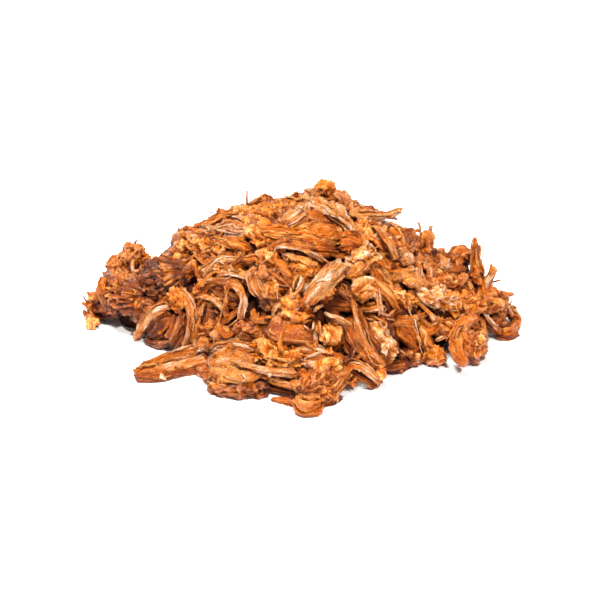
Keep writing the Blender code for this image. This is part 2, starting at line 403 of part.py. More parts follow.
def resampled(points, widths):
    """The path and its widths at even steps along a smooth curve through the points."""
    points = np.array(points, float)
    length = np.linalg.norm(np.diff(points, axis=0), axis=1).sum()
    count = int(np.clip(round(length / STEP_LENGTH), 2, MOST_STEPS))
    knots = np.linspace(0, 1, len(points))
    at = np.linspace(0, 1, count + 1)
    path = np.stack([np.interp(at, knots, points[:, axis]) for axis in range(3)], axis=1)
    widths = np.atleast_1d(np.array(widths, float))
    width = np.interp(at, np.linspace(0, 1, len(widths)), widths)
    width[[0, -1]] *= END_TAPER
    return path, width


def section_curve(kind, random):
    """A closed lobed outline of unit radius, as deep as the kind of shred is."""
    corners, depth, uneven = SECTIONS[kind]
    data = bpy.data.curves.new(f"section_{kind}", "CURVE")
    data.dimensions = "2D"
    outline = data.splines.new("POLY")
    outline.points.add(corners - 1)
    outline.use_cyclic_u = True
    for n in range(corners):
        angle = 2 * math.pi * (n + 0.5) / corners
        radius = MM * SECTION_SWELL * (1 + uneven * random.uniform(-1, 1))
        place = (radius * math.cos(angle), radius * depth * math.sin(angle), 0, 1)
        outline.points[n].co = place
    return bpy.data.objects.new(data.name, data)


def lumpy(mesh, kind, width, at):
    """Moves the surface in and out by noise, as uneven meat is."""
    high = LUMP_HEIGHT[kind] * width * MM
    mesh.normal_update()
    for vert in mesh.verts:
        push = noise.noise(vert.co / (LUMP_SIZE * MM) + Vector((at, 0, 0)))
        vert.co += vert.normal * high * push


def shred(name, kind, path, width, fused, random):
    """One shred: a lobed section carried along its path, made a closed mesh."""
    section = section_curve(kind, random)
    data = bpy.data.curves.new(name, "CURVE")
    data.dimensions = "3D"
    data.twist_mode = "MINIMUM"
    data.bevel_mode = "OBJECT"
    data.bevel_object = section
    data.use_fill_caps = True
    line = data.splines.new("POLY")
    line.points.add(len(path) - 1)
    for point, place, wide in zip(line.points, path, width):
        point.co = (*(place * MM), 1)
        point.radius = wide / 2
    curve = bpy.data.objects.new(name, data)
    bpy.context.scene.collection.objects.link(curve)
    bpy.context.view_layer.update()
    evaluated = curve.evaluated_get(bpy.context.evaluated_depsgraph_get())
    body = bmesh.new()
    body.from_mesh(bpy.data.meshes.new_from_object(evaluated))
    bmesh.ops.remove_doubles(body, verts=body.verts, dist=WELD * MM)
    lumpy(body, kind, float(np.max(width)), random.uniform(0, LUMP_PLACES))
    bmesh.ops.recalc_face_normals(body, faces=body.faces)
    mesh = bpy.data.meshes.new(name)
    body.to_mesh(mesh)
    body.free()
    bpy.data.objects.remove(curve, do_unlink=True)
    bpy.data.objects.remove(section, do_unlink=True)
    fused.objects.link(bpy.data.objects.new(name, mesh))


def listed_shreds(fused, random):
    for name, kind, _tone, widths, lift, *pixels in SHREDS:
        widest = float(np.max(widths))
        if kind == "thread" or widest < SMALLEST_WIDTH:
            continue
        half = 0.5 * widest * SECTIONS[kind][1]
        parts = np.linspace(0, math.pi, len(pixels))
        lifts = lift * (END_LIFT + (1 - END_LIFT) * np.sqrt(np.abs(np.sin(parts))))
        points = [seen_point(pixel, half, high) for pixel, high in zip(pixels, lifts)]
        path, width = resampled(points, widths)
        shred(name, kind, path, width, fused, random)


def fill_shreds(fused, random):
    """Shreds over the back and the ends, where the picture doesn't show the heap."""
    middle, fall, waver = FILL_LINE
    made = 0
    while made < FILL_COUNT:
        angle = random.uniform(0, 2 * math.pi)
        reach = math.sqrt(random.uniform(FILL_REACH[0] ** 2, FILL_REACH[1] ** 2))
        x, y = FILL_HALF_WIDTH * reach * math.cos(angle), FILL_HALF_DEPTH * reach * math.sin(angle)
        centre = np.array([FILL_MIDDLE + x, y])
        shown = centre[1] < middle - fall * abs(centre[0]) + waver * math.sin(centre[0])
        if shown or bed_height(*centre) < -FILL_OUTSIDE / 2:
            continue
        turn = random.uniform(0, math.pi)
        length = random.uniform(*FILL_LENGTH)
        width = random.uniform(*FILL_WIDTH)
        bend = random.uniform(-FILL_BEND, FILL_BEND)
        kind = FILL_KINDS[int(random.integers(0, len(FILL_KINDS)))]
        wide = width * (STRIP_SHARE if kind == "strip" else 1)
        path = []
        for part in np.linspace(-0.5, 0.5, FILL_POINTS):
            heading = turn + bend * part
            x, y = centre + length * part * np.array([math.cos(heading), math.sin(heading)])
            rest = max(float(bed_height(x, y)), FILL_REST * wide)
            path.append((x, y, rest + random.uniform(0, FILL_RISE) * width))
        if min(float(bed_height(x, y)) for x, y, _z in path) < -FILL_OUTSIDE:
            continue
        path, widths = resampled(path, (FILL_TAPER * wide, wide, FILL_TAPER * wide))
        shred(f"fill_{made}", kind, path, widths, fused, random)
        made += 1


def core_mesh():
    """The core: a ball whose upper half is drawn over the bed, and whose lower half is its flat base."""
    body = bmesh.new()
    far = np.arange(0, CORE_REACH, CORE_STEP)
    centre = np.array([MOUNDS[0][0], MOUNDS[0][1]])
    bmesh.ops.create_icosphere(body, subdivisions=CORE_ROUNDS, radius=1)
    for vert in body.verts:
        flat = np.array([vert.co.x, vert.co.y])
        out = float(np.linalg.norm(flat))
        along = flat / max(out, 1e-9)
        heights = bed_height(centre[0] + far * along[0], centre[1] + far * along[1])
        edge = far[max(int(np.argmax(heights < CORE_EDGE_HEIGHT)) - 1, 1)]
        x, y = centre + along * edge * min(out, 1) ** CORE_SPREAD
        top = float(bed_height(x, y)) + CORE_OVER
        z = max(top, 0) if vert.co.z > 0 else -UNDER_GROUND
        vert.co = Vector((x, y, z)) * MM
    bmesh.ops.recalc_face_normals(body, faces=body.faces)
    mesh = bpy.data.meshes.new(NAME)
    body.to_mesh(mesh)
    body.free()
    return mesh


def pork_material():
    material = bpy.data.materials.new("pulled_pork")
    material.use_nodes = True
    shader = material.node_tree.nodes["Principled BSDF"]
    shader.inputs["Base Color"].default_value = MEAT_COLOUR
    shader.inputs["Roughness"].default_value = MEAT_ROUGHNESS
    return material


def apply_boolean(body, operation, **operand):
    change = body.modifiers.new(operation.lower(), "BOOLEAN")
    change.operation = operation
    change.solver = "MANIFOLD"
    for key, value in operand.items():
        setattr(change, key, value)
    bpy.context.view_layer.update()
    evaluated = body.evaluated_get(bpy.context.evaluated_depsgraph_get())
    mesh = bpy.data.meshes.new_from_object(evaluated)
    body.modifiers.remove(change)
    body.data = mesh


def ground_cutter():
    """A block under the ground, which cuts the heap off flat where it rests."""
    size = CUTTER_SIZE * MM
    mesh = bpy.data.meshes.new("ground_cutter")
    body = bmesh.new()
    bmesh.ops.create_cube(body, size=size)
    bmesh.ops.translate(body, verts=body.verts, vec=(0, 0, -size / 2))
    body.to_mesh(mesh)
    body.free()
    cutter = bpy.data.objects.new(mesh.name, mesh)
    cutter.hide_render = True
    cutter.display_type = "WIRE"
    bpy.context.scene.collection.objects.link(cutter)
    return cutter


def islands(body):
    """The faces of each separate shell."""
    left = set(body.faces)
    while left:
        shell = {left.pop()}
        edge = list(shell)
        while edge:
            face = edge.pop()
            for line in face.edges:
                for other in line.link_faces:
                    if other in left:
                        left.discard(other)
                        shell.add(other)
                        edge.append(other)
        yield shell


def keep_largest(mesh):
    """Leaves the largest shell: a scrap that nothing joins goes, and a hollow inside is filled."""
    body = bmesh.new()
    body.from_mesh(mesh)
    shells = sorted(islands(body), key=len)
    scraps = [face for shell in shells[:-1] for face in shell]
    bmesh.ops.delete(body, geom=scraps, context="FACES")
    bmesh.ops.delete(body, geom=[vert for vert in body.verts if not vert.link_faces], context="VERTS")
    bmesh.ops.triangulate(body, faces=body.faces)
    body.to_mesh(mesh)
    body.free()


def build():
    clear_scene()
    collection = bpy.data.collections.new(NAME)
    bpy.context.scene.collection.children.link(collection)
    fused = bpy.data.collections.new("fused_shreds")
    bpy.context.scene.collection.children.link(fused)
    heap = bpy.data.objects.new(NAME, core_mesh())
    collection.objects.link(heap)
    listed_shreds(fused, np.random.default_rng(SEED))
    fill_shreds(fused, np.random.default_rng(FILL_SEED))
    apply_boolean(heap, "UNION", operand_type="COLLECTION", collection=fused)
    for thing in list(fused.objects):
        bpy.data.objects.remove(thing, do_unlink=True)
    bpy.data.collections.remove(fused)
    cutter = ground_cutter()
    apply_boolean(heap, "DIFFERENCE", object=cutter)
    bpy.data.objects.remove(cutter, do_unlink=True)
    keep_largest(heap.data)
    heap.data.transform(Matrix.Translation((-BOX_MIDDLE[0] * MM, -BOX_MIDDLE[1] * MM, 0)))
    heap.data.materials.clear()
    heap.data.materials.append(pork_material())


build()
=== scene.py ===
"""Looks for the heap of pulled pork: real shreds, chunks and crumbs in place of the plain solid.

Every length in this script is in millimetres until a mesh is written, and then in metres, in the frame
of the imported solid. A shred's place is a path in the 600 x 600 picture, which is carried back along the
line of sight to the bed that the shreds lie on.
"""

import math

import bpy
import numpy as np
from bpy.props import FloatProperty, FloatVectorProperty, IntProperty, PointerProperty
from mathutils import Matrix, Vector


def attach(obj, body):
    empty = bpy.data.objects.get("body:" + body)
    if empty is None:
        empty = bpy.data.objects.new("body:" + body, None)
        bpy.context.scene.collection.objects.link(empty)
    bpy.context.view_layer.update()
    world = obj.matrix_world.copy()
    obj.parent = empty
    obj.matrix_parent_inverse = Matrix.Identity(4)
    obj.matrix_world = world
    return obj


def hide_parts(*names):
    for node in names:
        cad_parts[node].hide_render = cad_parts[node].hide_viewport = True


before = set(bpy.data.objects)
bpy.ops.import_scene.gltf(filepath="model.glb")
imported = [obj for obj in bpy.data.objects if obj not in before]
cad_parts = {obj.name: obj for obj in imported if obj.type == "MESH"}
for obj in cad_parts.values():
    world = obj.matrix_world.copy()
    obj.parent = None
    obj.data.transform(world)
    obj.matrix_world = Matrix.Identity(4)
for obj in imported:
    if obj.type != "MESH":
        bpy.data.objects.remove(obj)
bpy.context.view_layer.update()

bl_info = {
    "name": "Pulled Pork Heap",
    "version": (1, 0, 0),
    "blender": (4, 5, 0),
    "location": "3D View > Sidebar > Pork",
    "description": "Builds a heap of pulled pork over its packed solid",
    "category": "Add Mesh",
}

NODE = "pork_heap"
MM = 0.001

# The bed that the shreds lie on, in millimetres: centre x and y, half width, half depth and height.
MOUNDS = (
    (6, 2, 52, 54, 50),
    (-36, 6, 34, 38, 33),
    (42, 0, 33, 35, 29),
    (-65, 3, 19, 18, 21),
    (72, -1, 17, 18, 17),
    (2, -40, 40, 25, 12),
)
MOUND_SHAPE = 0.7
MOUND_BLEND = 3
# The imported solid's origin as a point of the bed's frame.
BOX_MIDDLE = (2.1, -10.7, 0)
# The ground is a grid of cells of 1 millimetre, which reaches this far from the middle.
REACH = 110

# How the heap is seen: the camera's angle over the ground, its distance and target in millimetres, its
# lens and sensor, the side of the picture in pixels, and the lens as a number of pixels.
VIEW_ELEVATION = math.radians(26)
VIEW_DISTANCE = 595
VIEW_TARGET = (0, 0, 10)
VIEW_LENS = 85
SENSOR = 36
PICTURE = 600
FOCAL = VIEW_LENS / SENSOR * PICTURE
# A line of sight is followed from so far before to so far past the view's distance, in these steps.
SIGHT_BEFORE = 130
SIGHT_PAST = 90
SIGHT_STEP = 0.5
# Shreds lie on the ground only in front of the first y, and on the bed only in front of the second.
BACK_OF_GROUND = 0
BACK_OF_BED = 26
# The share of its lift that a shred keeps at its ends, and the share of its outward direction that
# points to the eye, the rest being straight out of the bed.
END_LIFT = 0.55
TO_EYE = 0.6

# What each kind of shred is like, in millimetres: its depth and end length for a width of 1, the height,
# width and length of its coarse and of its fine fibres, the height and size of its lumps, how much of
# its relief is sharp crests over rounded hollows (the rest is rounded ridges with sharp creases), how
# far its ends tear, how much darker it is, and how many strands, short bits and crumbs lie on each 100
# square millimetres of it.
FORM = ("depth", "end", "coarse", "fine", "lump", "crest", "tear", "dark", "strands", "bits", "grains")
KINDS = {
    kind: dict(zip(FORM, row))
    for kind, *row in (
        ("muscle", 0.75, 0.22, (1.3, 2.5, 34), (0.6, 1.1, 16), (0.7, 5), 0.15, 0.7, 0.08, 5.0, 2.0, 6.0),
        ("crumb", 0.85, 0.4, (1.7, 2.2, 3.2), (0.9, 1.1, 1.5), (1.4, 3.8), 1.0, 0.4, 0.16, 1.0, 7.0, 18.0),
        ("bark", 0.85, 0.4, (1.6, 1.6, 2.2), (0.9, 0.9, 1.2), (1.0, 3.2), 1.0, 0.4, 0.16, 1.0, 7.0, 14.0),
        ("smooth", 0.85, 0.5, (1.3, 3, 6), (0.6, 1.3, 3), (1.2, 4.5), 0.6, 0.25, 0.08, 1.0, 1.5, 4.0),
        ("strip", 0.55, 0.25, (0.7, 1.5, 24), (0.35, 0.8, 12), (0.35, 4), 0.1, 0.8, 0.08, 3.0, 1.0, 3.0),
        ("rope", 0.8, 0.15, (0.9, 2.2, 60), (0.35, 0.9, 26), (0.35, 9), 0.1, 0.6, 0.08, 2.5, 0.8, 3.0),
        ("flake", 0.25, 0.25, (0.5, 1.8, 9), (0.3, 1, 5), (0.7, 3.5), 0.5, 0.8, 0.08, 1.5, 2.0, 5.0),
        ("thread", 0.85, 0.6, (0.1, 1, 8), (0.08, 0.8, 5), (0.1, 3), 0.0, 0.2, 0.08, 0.0, 0.0, 0.0),
    )
}

# Each look: roughness, wet coat, strength of the bumps, share of sharp crests, and the streaks' scale
# along and across a metre.
LOOKS = {
    "fibre": (0.46, 0.50, 0.90, 0.1, (160, 1600, 1)),
    "crust": (0.40, 0.85, 1.00, 0.75, (1000, 1250, 1)),
    "glaze": (0.36, 0.90, 0.90, 0.1, (420, 1000, 1)),
    "deep": (0.75, 0.00, 0.60, 0.2, (800, 1000, 1)),
}
# What the colour is multiplied by in the darkest and in the lightest grain: partly the meat's own streaks and
# grain, partly painted shade in the lines between them and a painted whitish highlight on the crests.
GRAIN_SHADE = (0.42, 0.25, 0.10)
GRAIN_HIGHLIGHT = (1.40, 1.52, 1.90)
# The lines between streaks and between grains: share of the pattern, roughness of the noise.
STREAKS = (0.55, 0.65)
GRAINS = (0.45, 0.6)
LINE_WIDTH = 0.17
# Grains and wet patches to a metre, the height of the bumps and the depth that light soaks to in metres,
# and its shares of red, green and blue.
GRAIN_SCALE = 1350
WET_SCALE = 420
BUMP_HEIGHT = 0.0014
SOAK_DEPTH = 0.0008
SOAK_SHARES = (1.0, 0.35, 0.15)
SPECULAR = 0.15
COAT_ROUGHNESS = 0.06
COAT_IOR = 1.45
# The lowest point of any piece over the floor, and half the side of the floor in metres.
FLOOR_GAP = 0.04
FLOOR_HALF = 3.0

# The heap's upper outline and its foot in the picture.
SKYLINE = (
    (80, 306), (98, 286), (106, 262), (134, 240), (144, 254), (156, 261), (170, 254), (178, 230),
    (194, 228), (228, 209), (246, 196), (262, 196), (284, 198), (298, 192), (328, 181), (346, 194),
    (362, 208), (376, 218), (396, 225), (412, 228), (432, 230), (448, 253), (476, 246), (492, 266),
    (508, 291), (522, 318),
)
FOOT_LINE = (
    (80, 304), (92, 318), (126, 310), (136, 316), (140, 332), (180, 346), (204, 374), (240, 392),
    (290, 402), (312, 414), (330, 404), (390, 370), (430, 366), (446, 352), (470, 366), (490, 342),
    (510, 338), (522, 322),
)

# Colours as they look under the light, from the creases to the ridge tops, in 0 to 255. The dark creases are
# partly sauce pooled there and partly painted shade; the pale, whitish ridge tops are painted light and
# sheen.
TONES = {
    "pale": ((186, 84, 20), (242, 165, 80), (255, 240, 217)),
    "tan": ((150, 58, 4), (230, 139, 44), (255, 222, 187)),
    "orange": ((138, 46, 0), (226, 116, 2), (255, 195, 108)),
    "brown": ((90, 29, 0), (176, 82, 4), (238, 158, 82)),
    "bark": ((70, 22, 0), (146, 64, 4), (216, 132, 68)),
    "char": ((50, 16, 0), (118, 48, 5), (196, 114, 60)),
}
# How much lighter the light makes them.
LIGHT_GAIN = 1.06
# Patches of sauce and of browning: tone, size and shift of the noise, where a patch begins and is whole,
# how much of the tone it takes, and the noise's seed.
PATCHES = (("orange", 5, 0, 0.0, 0.4, 0.7, 31), ("brown", 8, 40, 0.2, 0.6, 0.45, 57))
# The heights over the shreds' mean height below which the meat gets the full painted shade and above which it
# gets none.
SHADE_HEIGHTS = (-5.5, 0.5)

# The core: rows and columns, middle, height of the bed at its edge, depth under the bed and roughness.
CORE_GRID = (50, 140)
CORE_MIDDLE = (6.0, 2.0)
CORE_EDGE = 15.0
CORE_DEPTH = 5
CORE_ROUGH = 1.2

# Seeds of the random draws.
UNDER_SEED, BACK_SEED, FIBRE_SEED, CRUMB_SEED, WISP_SEED, SCRAP_SEED = 5, 8, 21, 22, 23, 24
# The first numbers of the unlisted shreds and of the scraps, and the share of the small pieces that is
# laid on both.
UNLISTED = 1000
SCRAPS_FROM = 3000
UNLISTED_SHARE = 0.4
# The mesh step of the first pass, which gives the heap's mean height.
FIRST_PASS = 1.8
# The ellipses that unlisted shreds, scraps and wisps are laid in: middle x and y, half width and depth.
FIELD = (4, 0, 84, 60)
SCRAP_FIELD = (2, -4, 86, 58)
WISP_FIELD = (4, -2, 84, 52)
# Hidden shreds lie behind this y in the middle. It falls by a share of x to the ends, in a wave.
HIDDEN_Y = 21
HIDDEN_FALL = 0.2
HIDDEN_WAVE = 4
# Unlisted shreds reach down to these heights of the bed, the second for hidden ones, and are sunk by up
# to the third to stay under the outline in the picture.
BED_LOWEST = -5
BED_LOWEST_HIDDEN = -7
SINK_MOST = 9

# The light: strength of the white all round, then each lamp's name, place and size in metres and watts.
WORLD_LIGHT = 0.32
LAMPS = (("top_box", (-0.2, -0.1, 1.1), 0.55, 31.0), ("front_box", (0.35, -0.8, 0.9), 0.09, 17.0))

# Each shred: name, kind, tone, width along it and height over the bed in millimetres, then its path in
# the picture.
SHREDS = (
    # left end: a crusty block with a peak on it, and a hook of meat at its far end
    ("bark_left", "bark", "bark", (14, 18, 18), 0, (104, 287), (122, 291), (146, 295)),
    ("bark_right", "bark", "char", (15, 17, 14), 1, (144, 290), (164, 280), (186, 275)),
    ("bark_foot", "bark", "bark", (7, 8, 7), 1, (131, 304), (143, 311), (158, 309)),
    ("peak_lump", "crumb", "brown", (6, 8, 7, 4), 1, (125, 265), (130, 258), (135, 250), (139, 244)),
    ("peak_side", "flake", "tan", (5, 6, 5), 4, (126, 264), (132, 257), (138, 250)),
    ("peak_block", "crumb", "orange", (5, 6, 4), 2, (138, 254), (142, 260), (148, 266)),
    ("peak_base", "bark", "brown", (5, 8, 6), 2, (106, 267), (120, 266), (138, 268)),
    ("left_band", "strip", "orange", (3, 4.5, 4), 7, (103, 277), (101, 291), (108, 306)),
    ("left_under", "muscle", "brown", (6, 7, 6), 0, (100, 311), (108, 308), (118, 308)),
    ("hook", "crumb", "orange", (3, 4.4, 5, 4), 0, (101, 290), (94, 301), (93, 314), (95, 326)),
    ("hook_claw_a", "strip", "orange", (2, 2.2, 1.4), 1, (96, 302), (88, 305), (82, 303)),
    ("hook_claw_b", "strip", "orange", (2, 2, 1.2), 2, (96, 296), (90, 295), (87, 291)),
    ("hook_claw_c", "strip", "brown", (2, 2.4, 1.6), 1, (92, 311), (86, 315), (84, 310)),
    ("hook_inner", "strip", "brown", (3, 4, 3), 0, (98, 292), (101, 302), (104, 311)),
    ("hook_hair_a", "thread", "brown", 0.7, 1, (83, 296), (86, 301), (90, 305)),
    ("hook_hair_b", "thread", "brown", 0.7, 1, (89, 296), (92, 301), (95, 305)),
    # the curled shreds between the block and the log
    ("basket", "muscle", "bark", (7, 9, 8), 0, (152, 336), (162, 328), (175, 318)),
    ("basket_rim", "strip", "brown", (3, 4.5, 3), 2, (146, 340), (158, 344), (173, 341)),
    ("arch_strand", "strip", "pale", (3, 3, 2.8, 2.4), 9,
     (138, 337), (142, 326), (150, 316), (159, 310), (170, 307)),
    ("arch_foot", "crumb", "orange", (3, 4), 3, (137, 331), (142, 337)),
    ("knuckle_left", "crumb", "orange", (5, 6, 4), 4, (172, 293), (179, 300), (181, 312)),
    ("y_strand", "strip", "orange", (1.6, 1.4, 1), 7, (169, 305), (177, 311), (184, 316)),
    ("tall_strand", "strip", "tan", (2.6, 3.2, 3.4, 3.4, 3), 6,
     (180, 289), (188, 299), (191, 315), (189, 332), (185, 348)),
    ("tall_block", "muscle", "bark", (7, 8.5, 7), 2, (184, 316), (180, 331), (176, 346)),
    ("tall_right", "strip", "orange", (2.6, 3, 2.6), 4, (196, 318), (194, 332), (193, 346)),
    # the log that lies in front, and the shreds over its root
    ("log_lower", "rope", "brown", (3.4, 4.2, 4.4, 4.4), 0,
     (136, 378), (158, 377), (182, 371), (206, 368)),
    ("log_front", "rope", "tan", (2.4, 3.8, 4.2, 4.4), 2.5,
     (150, 374), (164, 370), (184, 366), (207, 362)),
    ("log_left", "rope", "orange", (3.2, 3.6, 3.2), 2, (134, 373), (144, 370), (158, 368)),
    ("log_foot", "crumb", "brown", (3, 3.8, 3.2), 1, (199, 369), (206, 374), (209, 381)),
    ("log_upper", "rope", "tan", (2.6, 4, 4.6, 4.8), 4.5, (140, 367), (158, 361), (180, 355), (203, 352)),
    ("log_core", "strip", "brown", (3, 3, 3), 2.5, (150, 370), (164, 366), (184, 361), (203, 357)),
    ("log_ridge", "rope", "brown", (1.8, 2.2, 2), 6, (143, 364), (162, 357), (184, 350)),
    ("log_nub", "crumb", "pale", (1.6, 2), 4, (158, 378), (166, 377)),
    ("log_cap", "flake", "pale", (5, 6, 4), 7, (193, 347), (201, 343), (209, 348)),
    # upper left shoulder
    ("shoulder_block", "crumb", "brown", (8, 9, 8), 1, (177, 238), (187, 238), (199, 242)),
    ("shoulder_stick", "muscle", "orange", (1.4, 2.8, 3.2, 3), 4,
     (194, 226), (209, 222), (224, 217), (240, 214)),
    ("shoulder_twig", "strip", "tan", (1.2, 2.2, 2), 4, (199, 229), (211, 225), (223, 221)),
    ("shoulder_hair", "thread", "brown", 0.5, 5, (209, 212), (213, 213), (218, 215)),
    ("shoulder_back", "crumb", "brown", (3, 5, 4), 1, (214, 219), (226, 217), (242, 214)),
    ("orange_bar", "muscle", "orange", (3, 4.6, 4.8, 4), 5,
     (210, 243), (224, 242), (238, 245), (250, 250)),
    ("orange_bar_root", "crumb", "orange", (5, 5.5, 5), 4, (178, 249), (192, 247), (210, 244)),
    ("folded_dome", "muscle", "tan", (5, 7.5, 8, 6), 3, (214, 234), (226, 231), (240, 232), (253, 230)),
    ("dome_lip", "strip", "tan", (1.6, 2.4, 2), 6, (220, 238), (236, 239), (250, 236)),
    ("glazed_crumbs", "crumb", "brown", (5, 6, 5), 1, (204, 256), (215, 254), (229, 251)),
    ("fork_long", "strip", "orange", (1.2, 2.2, 2.4), 6, (193, 252), (200, 259), (209, 267)),
    ("fork_short", "strip", "orange", (2, 2.6, 2), 5, (191, 260), (196, 270), (200, 280)),
    ("sickle", "strip", "pale", (4.4, 3, 2.6, 2.2), 8, (203, 276), (210, 268), (221, 260), (237, 259)),
    ("sickle_end", "strip", "orange", (2, 2.6, 3), 7, (239, 261), (251, 259), (263, 259)),
    ("fan_top", "muscle", "tan", (4, 6, 5), 4, (205, 278), (222, 272), (246, 279)),
    ("fan_hair", "strip", "pale", (1, 1.5, 1), 7, (214, 275), (230, 274), (248, 278)),
    ("fan_plate", "muscle", "bark", (6, 8, 7), 2, (204, 291), (222, 296), (241, 302)),
    ("fan_strand", "strip", "tan", (4.4, 4, 3.4, 3.4, 2.8), 8,
     (197, 284), (216, 281), (233, 284), (243, 297), (241, 321)),
    ("fan_inner", "strip", "orange", (2, 3, 2), 5, (222, 290), (232, 293), (240, 300)),
    ("fold_strand", "strip", "tan", (2.2, 2.6, 2.4, 2), 7,
     (193, 299), (202, 296), (216, 302), (226, 315)),
    ("fold_inside", "crumb", "char", (5, 6, 5), 0, (201, 307), (212, 311), (224, 315)),
    ("cross_strand", "strip", "tan", (2.4, 2.6, 2.2), 5, (212, 327), (224, 320), (242, 307)),
    ("cross_hair", "thread", "pale", 0.9, 8, (227, 328), (237, 320), (246, 311)),
    ("low_needle", "thread", "pale", 0.9, 7, (194, 336), (202, 334), (208, 332)),
    ("pale_blob", "smooth", "tan", (5, 6.5, 5.5), 4, (210, 334), (221, 333), (233, 334)),
    ("orange_blob", "crumb", "brown", (6, 8, 6), 3, (235, 333), (247, 329), (262, 330)),
    ("curled_knot", "strip", "tan", (2.6, 3, 2.6), 5, (252, 311), (257, 319), (267, 318)),
    # the swirl and the crumbs in the middle
    ("swirl_left", "strip", "tan", (2, 3.4, 3.2, 2), 6, (257, 264), (252, 277), (255, 290), (263, 299)),
    ("swirl_heart", "muscle", "brown", (5, 6, 5), 3, (263, 268), (260, 280), (265, 292)),
    ("swirl_rib", "strip", "pale", (1.6, 2, 1.4), 7, (261, 270), (259, 281), (265, 287)),
    ("swirl_curl", "crumb", "orange", (5, 6.5, 5), 5, (276, 283), (271, 291), (279, 296)),
    ("swirl_top", "crumb", "orange", (3.6, 4.6, 4), 6, (257, 263), (264, 255), (276, 263)),
    ("bridge", "smooth", "orange", (4, 5.4, 4.6), 4, (275, 261), (284, 268), (292, 279)),
    ("crumb_ridge", "crumb", "orange", (6, 7.5, 6), 5, (289, 264), (303, 268), (316, 278)),
    ("dark_fibres", "muscle", "brown", (5, 6, 5), 1, (273, 272), (281, 281), (290, 289)),
    ("tusk", "strip", "pale", (0.8, 1.6, 2, 2.4), 9, (303, 275), (302, 285), (296, 293), (285, 298)),
    ("prong_a", "strip", "pale", (1.2, 1.6, 1.6), 8, (272, 318), (276, 308), (285, 300)),
    ("prong_b", "strip", "pale", (2.2, 3.2, 3), 8, (287, 317), (293, 308), (301, 300)),
    ("middle_crumbs", "crumb", "orange", (7, 8, 7), 4, (280, 309), (295, 311), (312, 316)),
    ("dark_crumbs", "crumb", "char", (5, 6, 5), 0, (262, 303), (271, 302), (282, 304)),
    ("small_prongs", "strip", "tan", (1.4, 1.6, 1.2), 6, (262, 320), (269, 317), (274, 319)),
    ("grey_lozenge", "smooth", "brown", (6, 9, 9, 5), 4, (264, 330), (280, 332), (298, 334), (316, 340)),
    ("lozenge_top", "crumb", "brown", (4, 6, 4), 4, (272, 322), (286, 321), (302, 324)),
    ("hair_tuft_a", "thread", "pale", 0.8, 8, (302, 324), (307, 328), (311, 331)),
    ("hair_tuft_b", "thread", "pale", 0.8, 8, (311, 332), (313, 327), (314, 321)),
    ("stub_upright", "strip", "tan", (2.2, 2.8, 2.4), 6, (318, 337), (319, 329), (317, 321)),
    ("brown_nut", "crumb", "orange", (6, 8, 7), 4, (327, 325), (330, 335), (330, 346)),
    # crest
    ("spike", "strip", "orange", (0.9, 1.3, 1.4), 3, (247, 190), (247, 197), (247, 205)),
    ("crest_left", "crumb", "orange", (5, 6.5, 6), 2, (231, 217), (245, 215), (262, 213)),
    ("crest_left_low", "muscle", "tan", (5, 6.5, 5), 3, (222, 223), (236, 219), (252, 224)),
    ("crest_wedge", "muscle", "tan", (2, 2.6, 2), 3, (249, 204), (256, 200), (263, 198)),
    ("crest_knob", "crumb", "char", (4, 4.4, 3.4), 2, (266, 203), (267, 199), (268, 196)),
    ("twig", "strip", "brown", (1.6, 1.8, 2), 3, (271, 203), (285, 199), (298, 194)),
    ("twig_knob", "crumb", "brown", (1.6, 2.2), 3, (293, 192), (299, 194)),
    ("twig_hair", "thread", "tan", 0.6, 4, (299, 191), (304, 190), (310, 193)),
    ("twig_low", "strip", "orange", (1.6, 2.2, 2), 3, (274, 208), (287, 204), (299, 203)),
    ("crest_crumbs", "crumb", "orange", (6, 7, 6), 3, (250, 215), (266, 212), (284, 213)),
    ("left_curl", "crumb", "orange", (4, 4.6, 3.6), 5, (251, 230), (257, 238), (268, 246)),
    ("long_plate", "muscle", "orange", (6, 7.5, 8, 7), 3, (262, 234), (284, 236), (310, 239), (336, 243)),
    ("long_plate_low", "smooth", "brown", (4, 6, 7, 5), 2,
     (276, 242), (298, 244), (318, 246), (336, 252)),
    ("pale_wave", "strip", "pale", (1.6, 2.2, 2, 1.4), 7, (272, 248), (286, 246), (304, 250), (323, 261)),
    ("low_wave", "strip", "tan", (1.8, 2.2, 2), 5, (282, 252), (296, 258), (312, 260)),
    ("wave_hair", "thread", "pale", 0.9, 8, (300, 250), (316, 254), (330, 264)),
    ("wave_shadow", "muscle", "brown", (4, 5, 4), 1, (284, 256), (300, 262), (322, 266)),
    ("apex_block", "crumb", "orange", (6, 7.5, 6), 1, (317, 193), (326, 189), (335, 190)),
    ("apex_wing", "flake", "tan", (5, 5, 2), 2, (312, 198), (316, 191), (319, 185)),
    ("apex_right", "crumb", "brown", (6, 6.5, 5), 1, (333, 200), (342, 205), (349, 212)),
    ("apex_bud", "crumb", "brown", (2.4, 2), 2, (342, 196), (347, 193)),
    ("apex_fin", "crumb", "brown", (4.4, 3.6, 2), 2, (352, 213), (354, 206), (353, 200)),
    ("arch", "muscle", "pale", (3.4, 6, 7, 6.4, 5), 7,
     (297, 201), (314, 204), (330, 210), (344, 220), (356, 232)),
    ("arch_shadow", "smooth", "brown", (4, 5, 4), 1, (303, 214), (317, 217), (333, 221)),
    ("left_slab", "muscle", "pale", (6, 8, 6.5, 5), 4, (284, 228), (295, 221), (302, 213), (308, 206)),
    ("leaf", "flake", "orange", (4, 6.4, 6.4, 4), 8, (308, 234), (317, 230), (328, 231), (339, 235)),
    ("wedge_flake", "flake", "orange", (1.6, 3, 3.6), 8, (337, 239), (345, 234), (354, 231)),
    ("stick_right", "muscle", "pale", (3.6, 3.8, 3.4, 1.6), 8,
     (350, 213), (368, 215), (385, 214), (401, 209)),
    ("stick_prong", "strip", "orange", (2, 2, 1.8), 8, (380, 216), (389, 217), (397, 219)),
    ("under_stick", "crumb", "brown", (5, 5.4, 4), 0, (357, 227), (372, 229), (388, 234)),
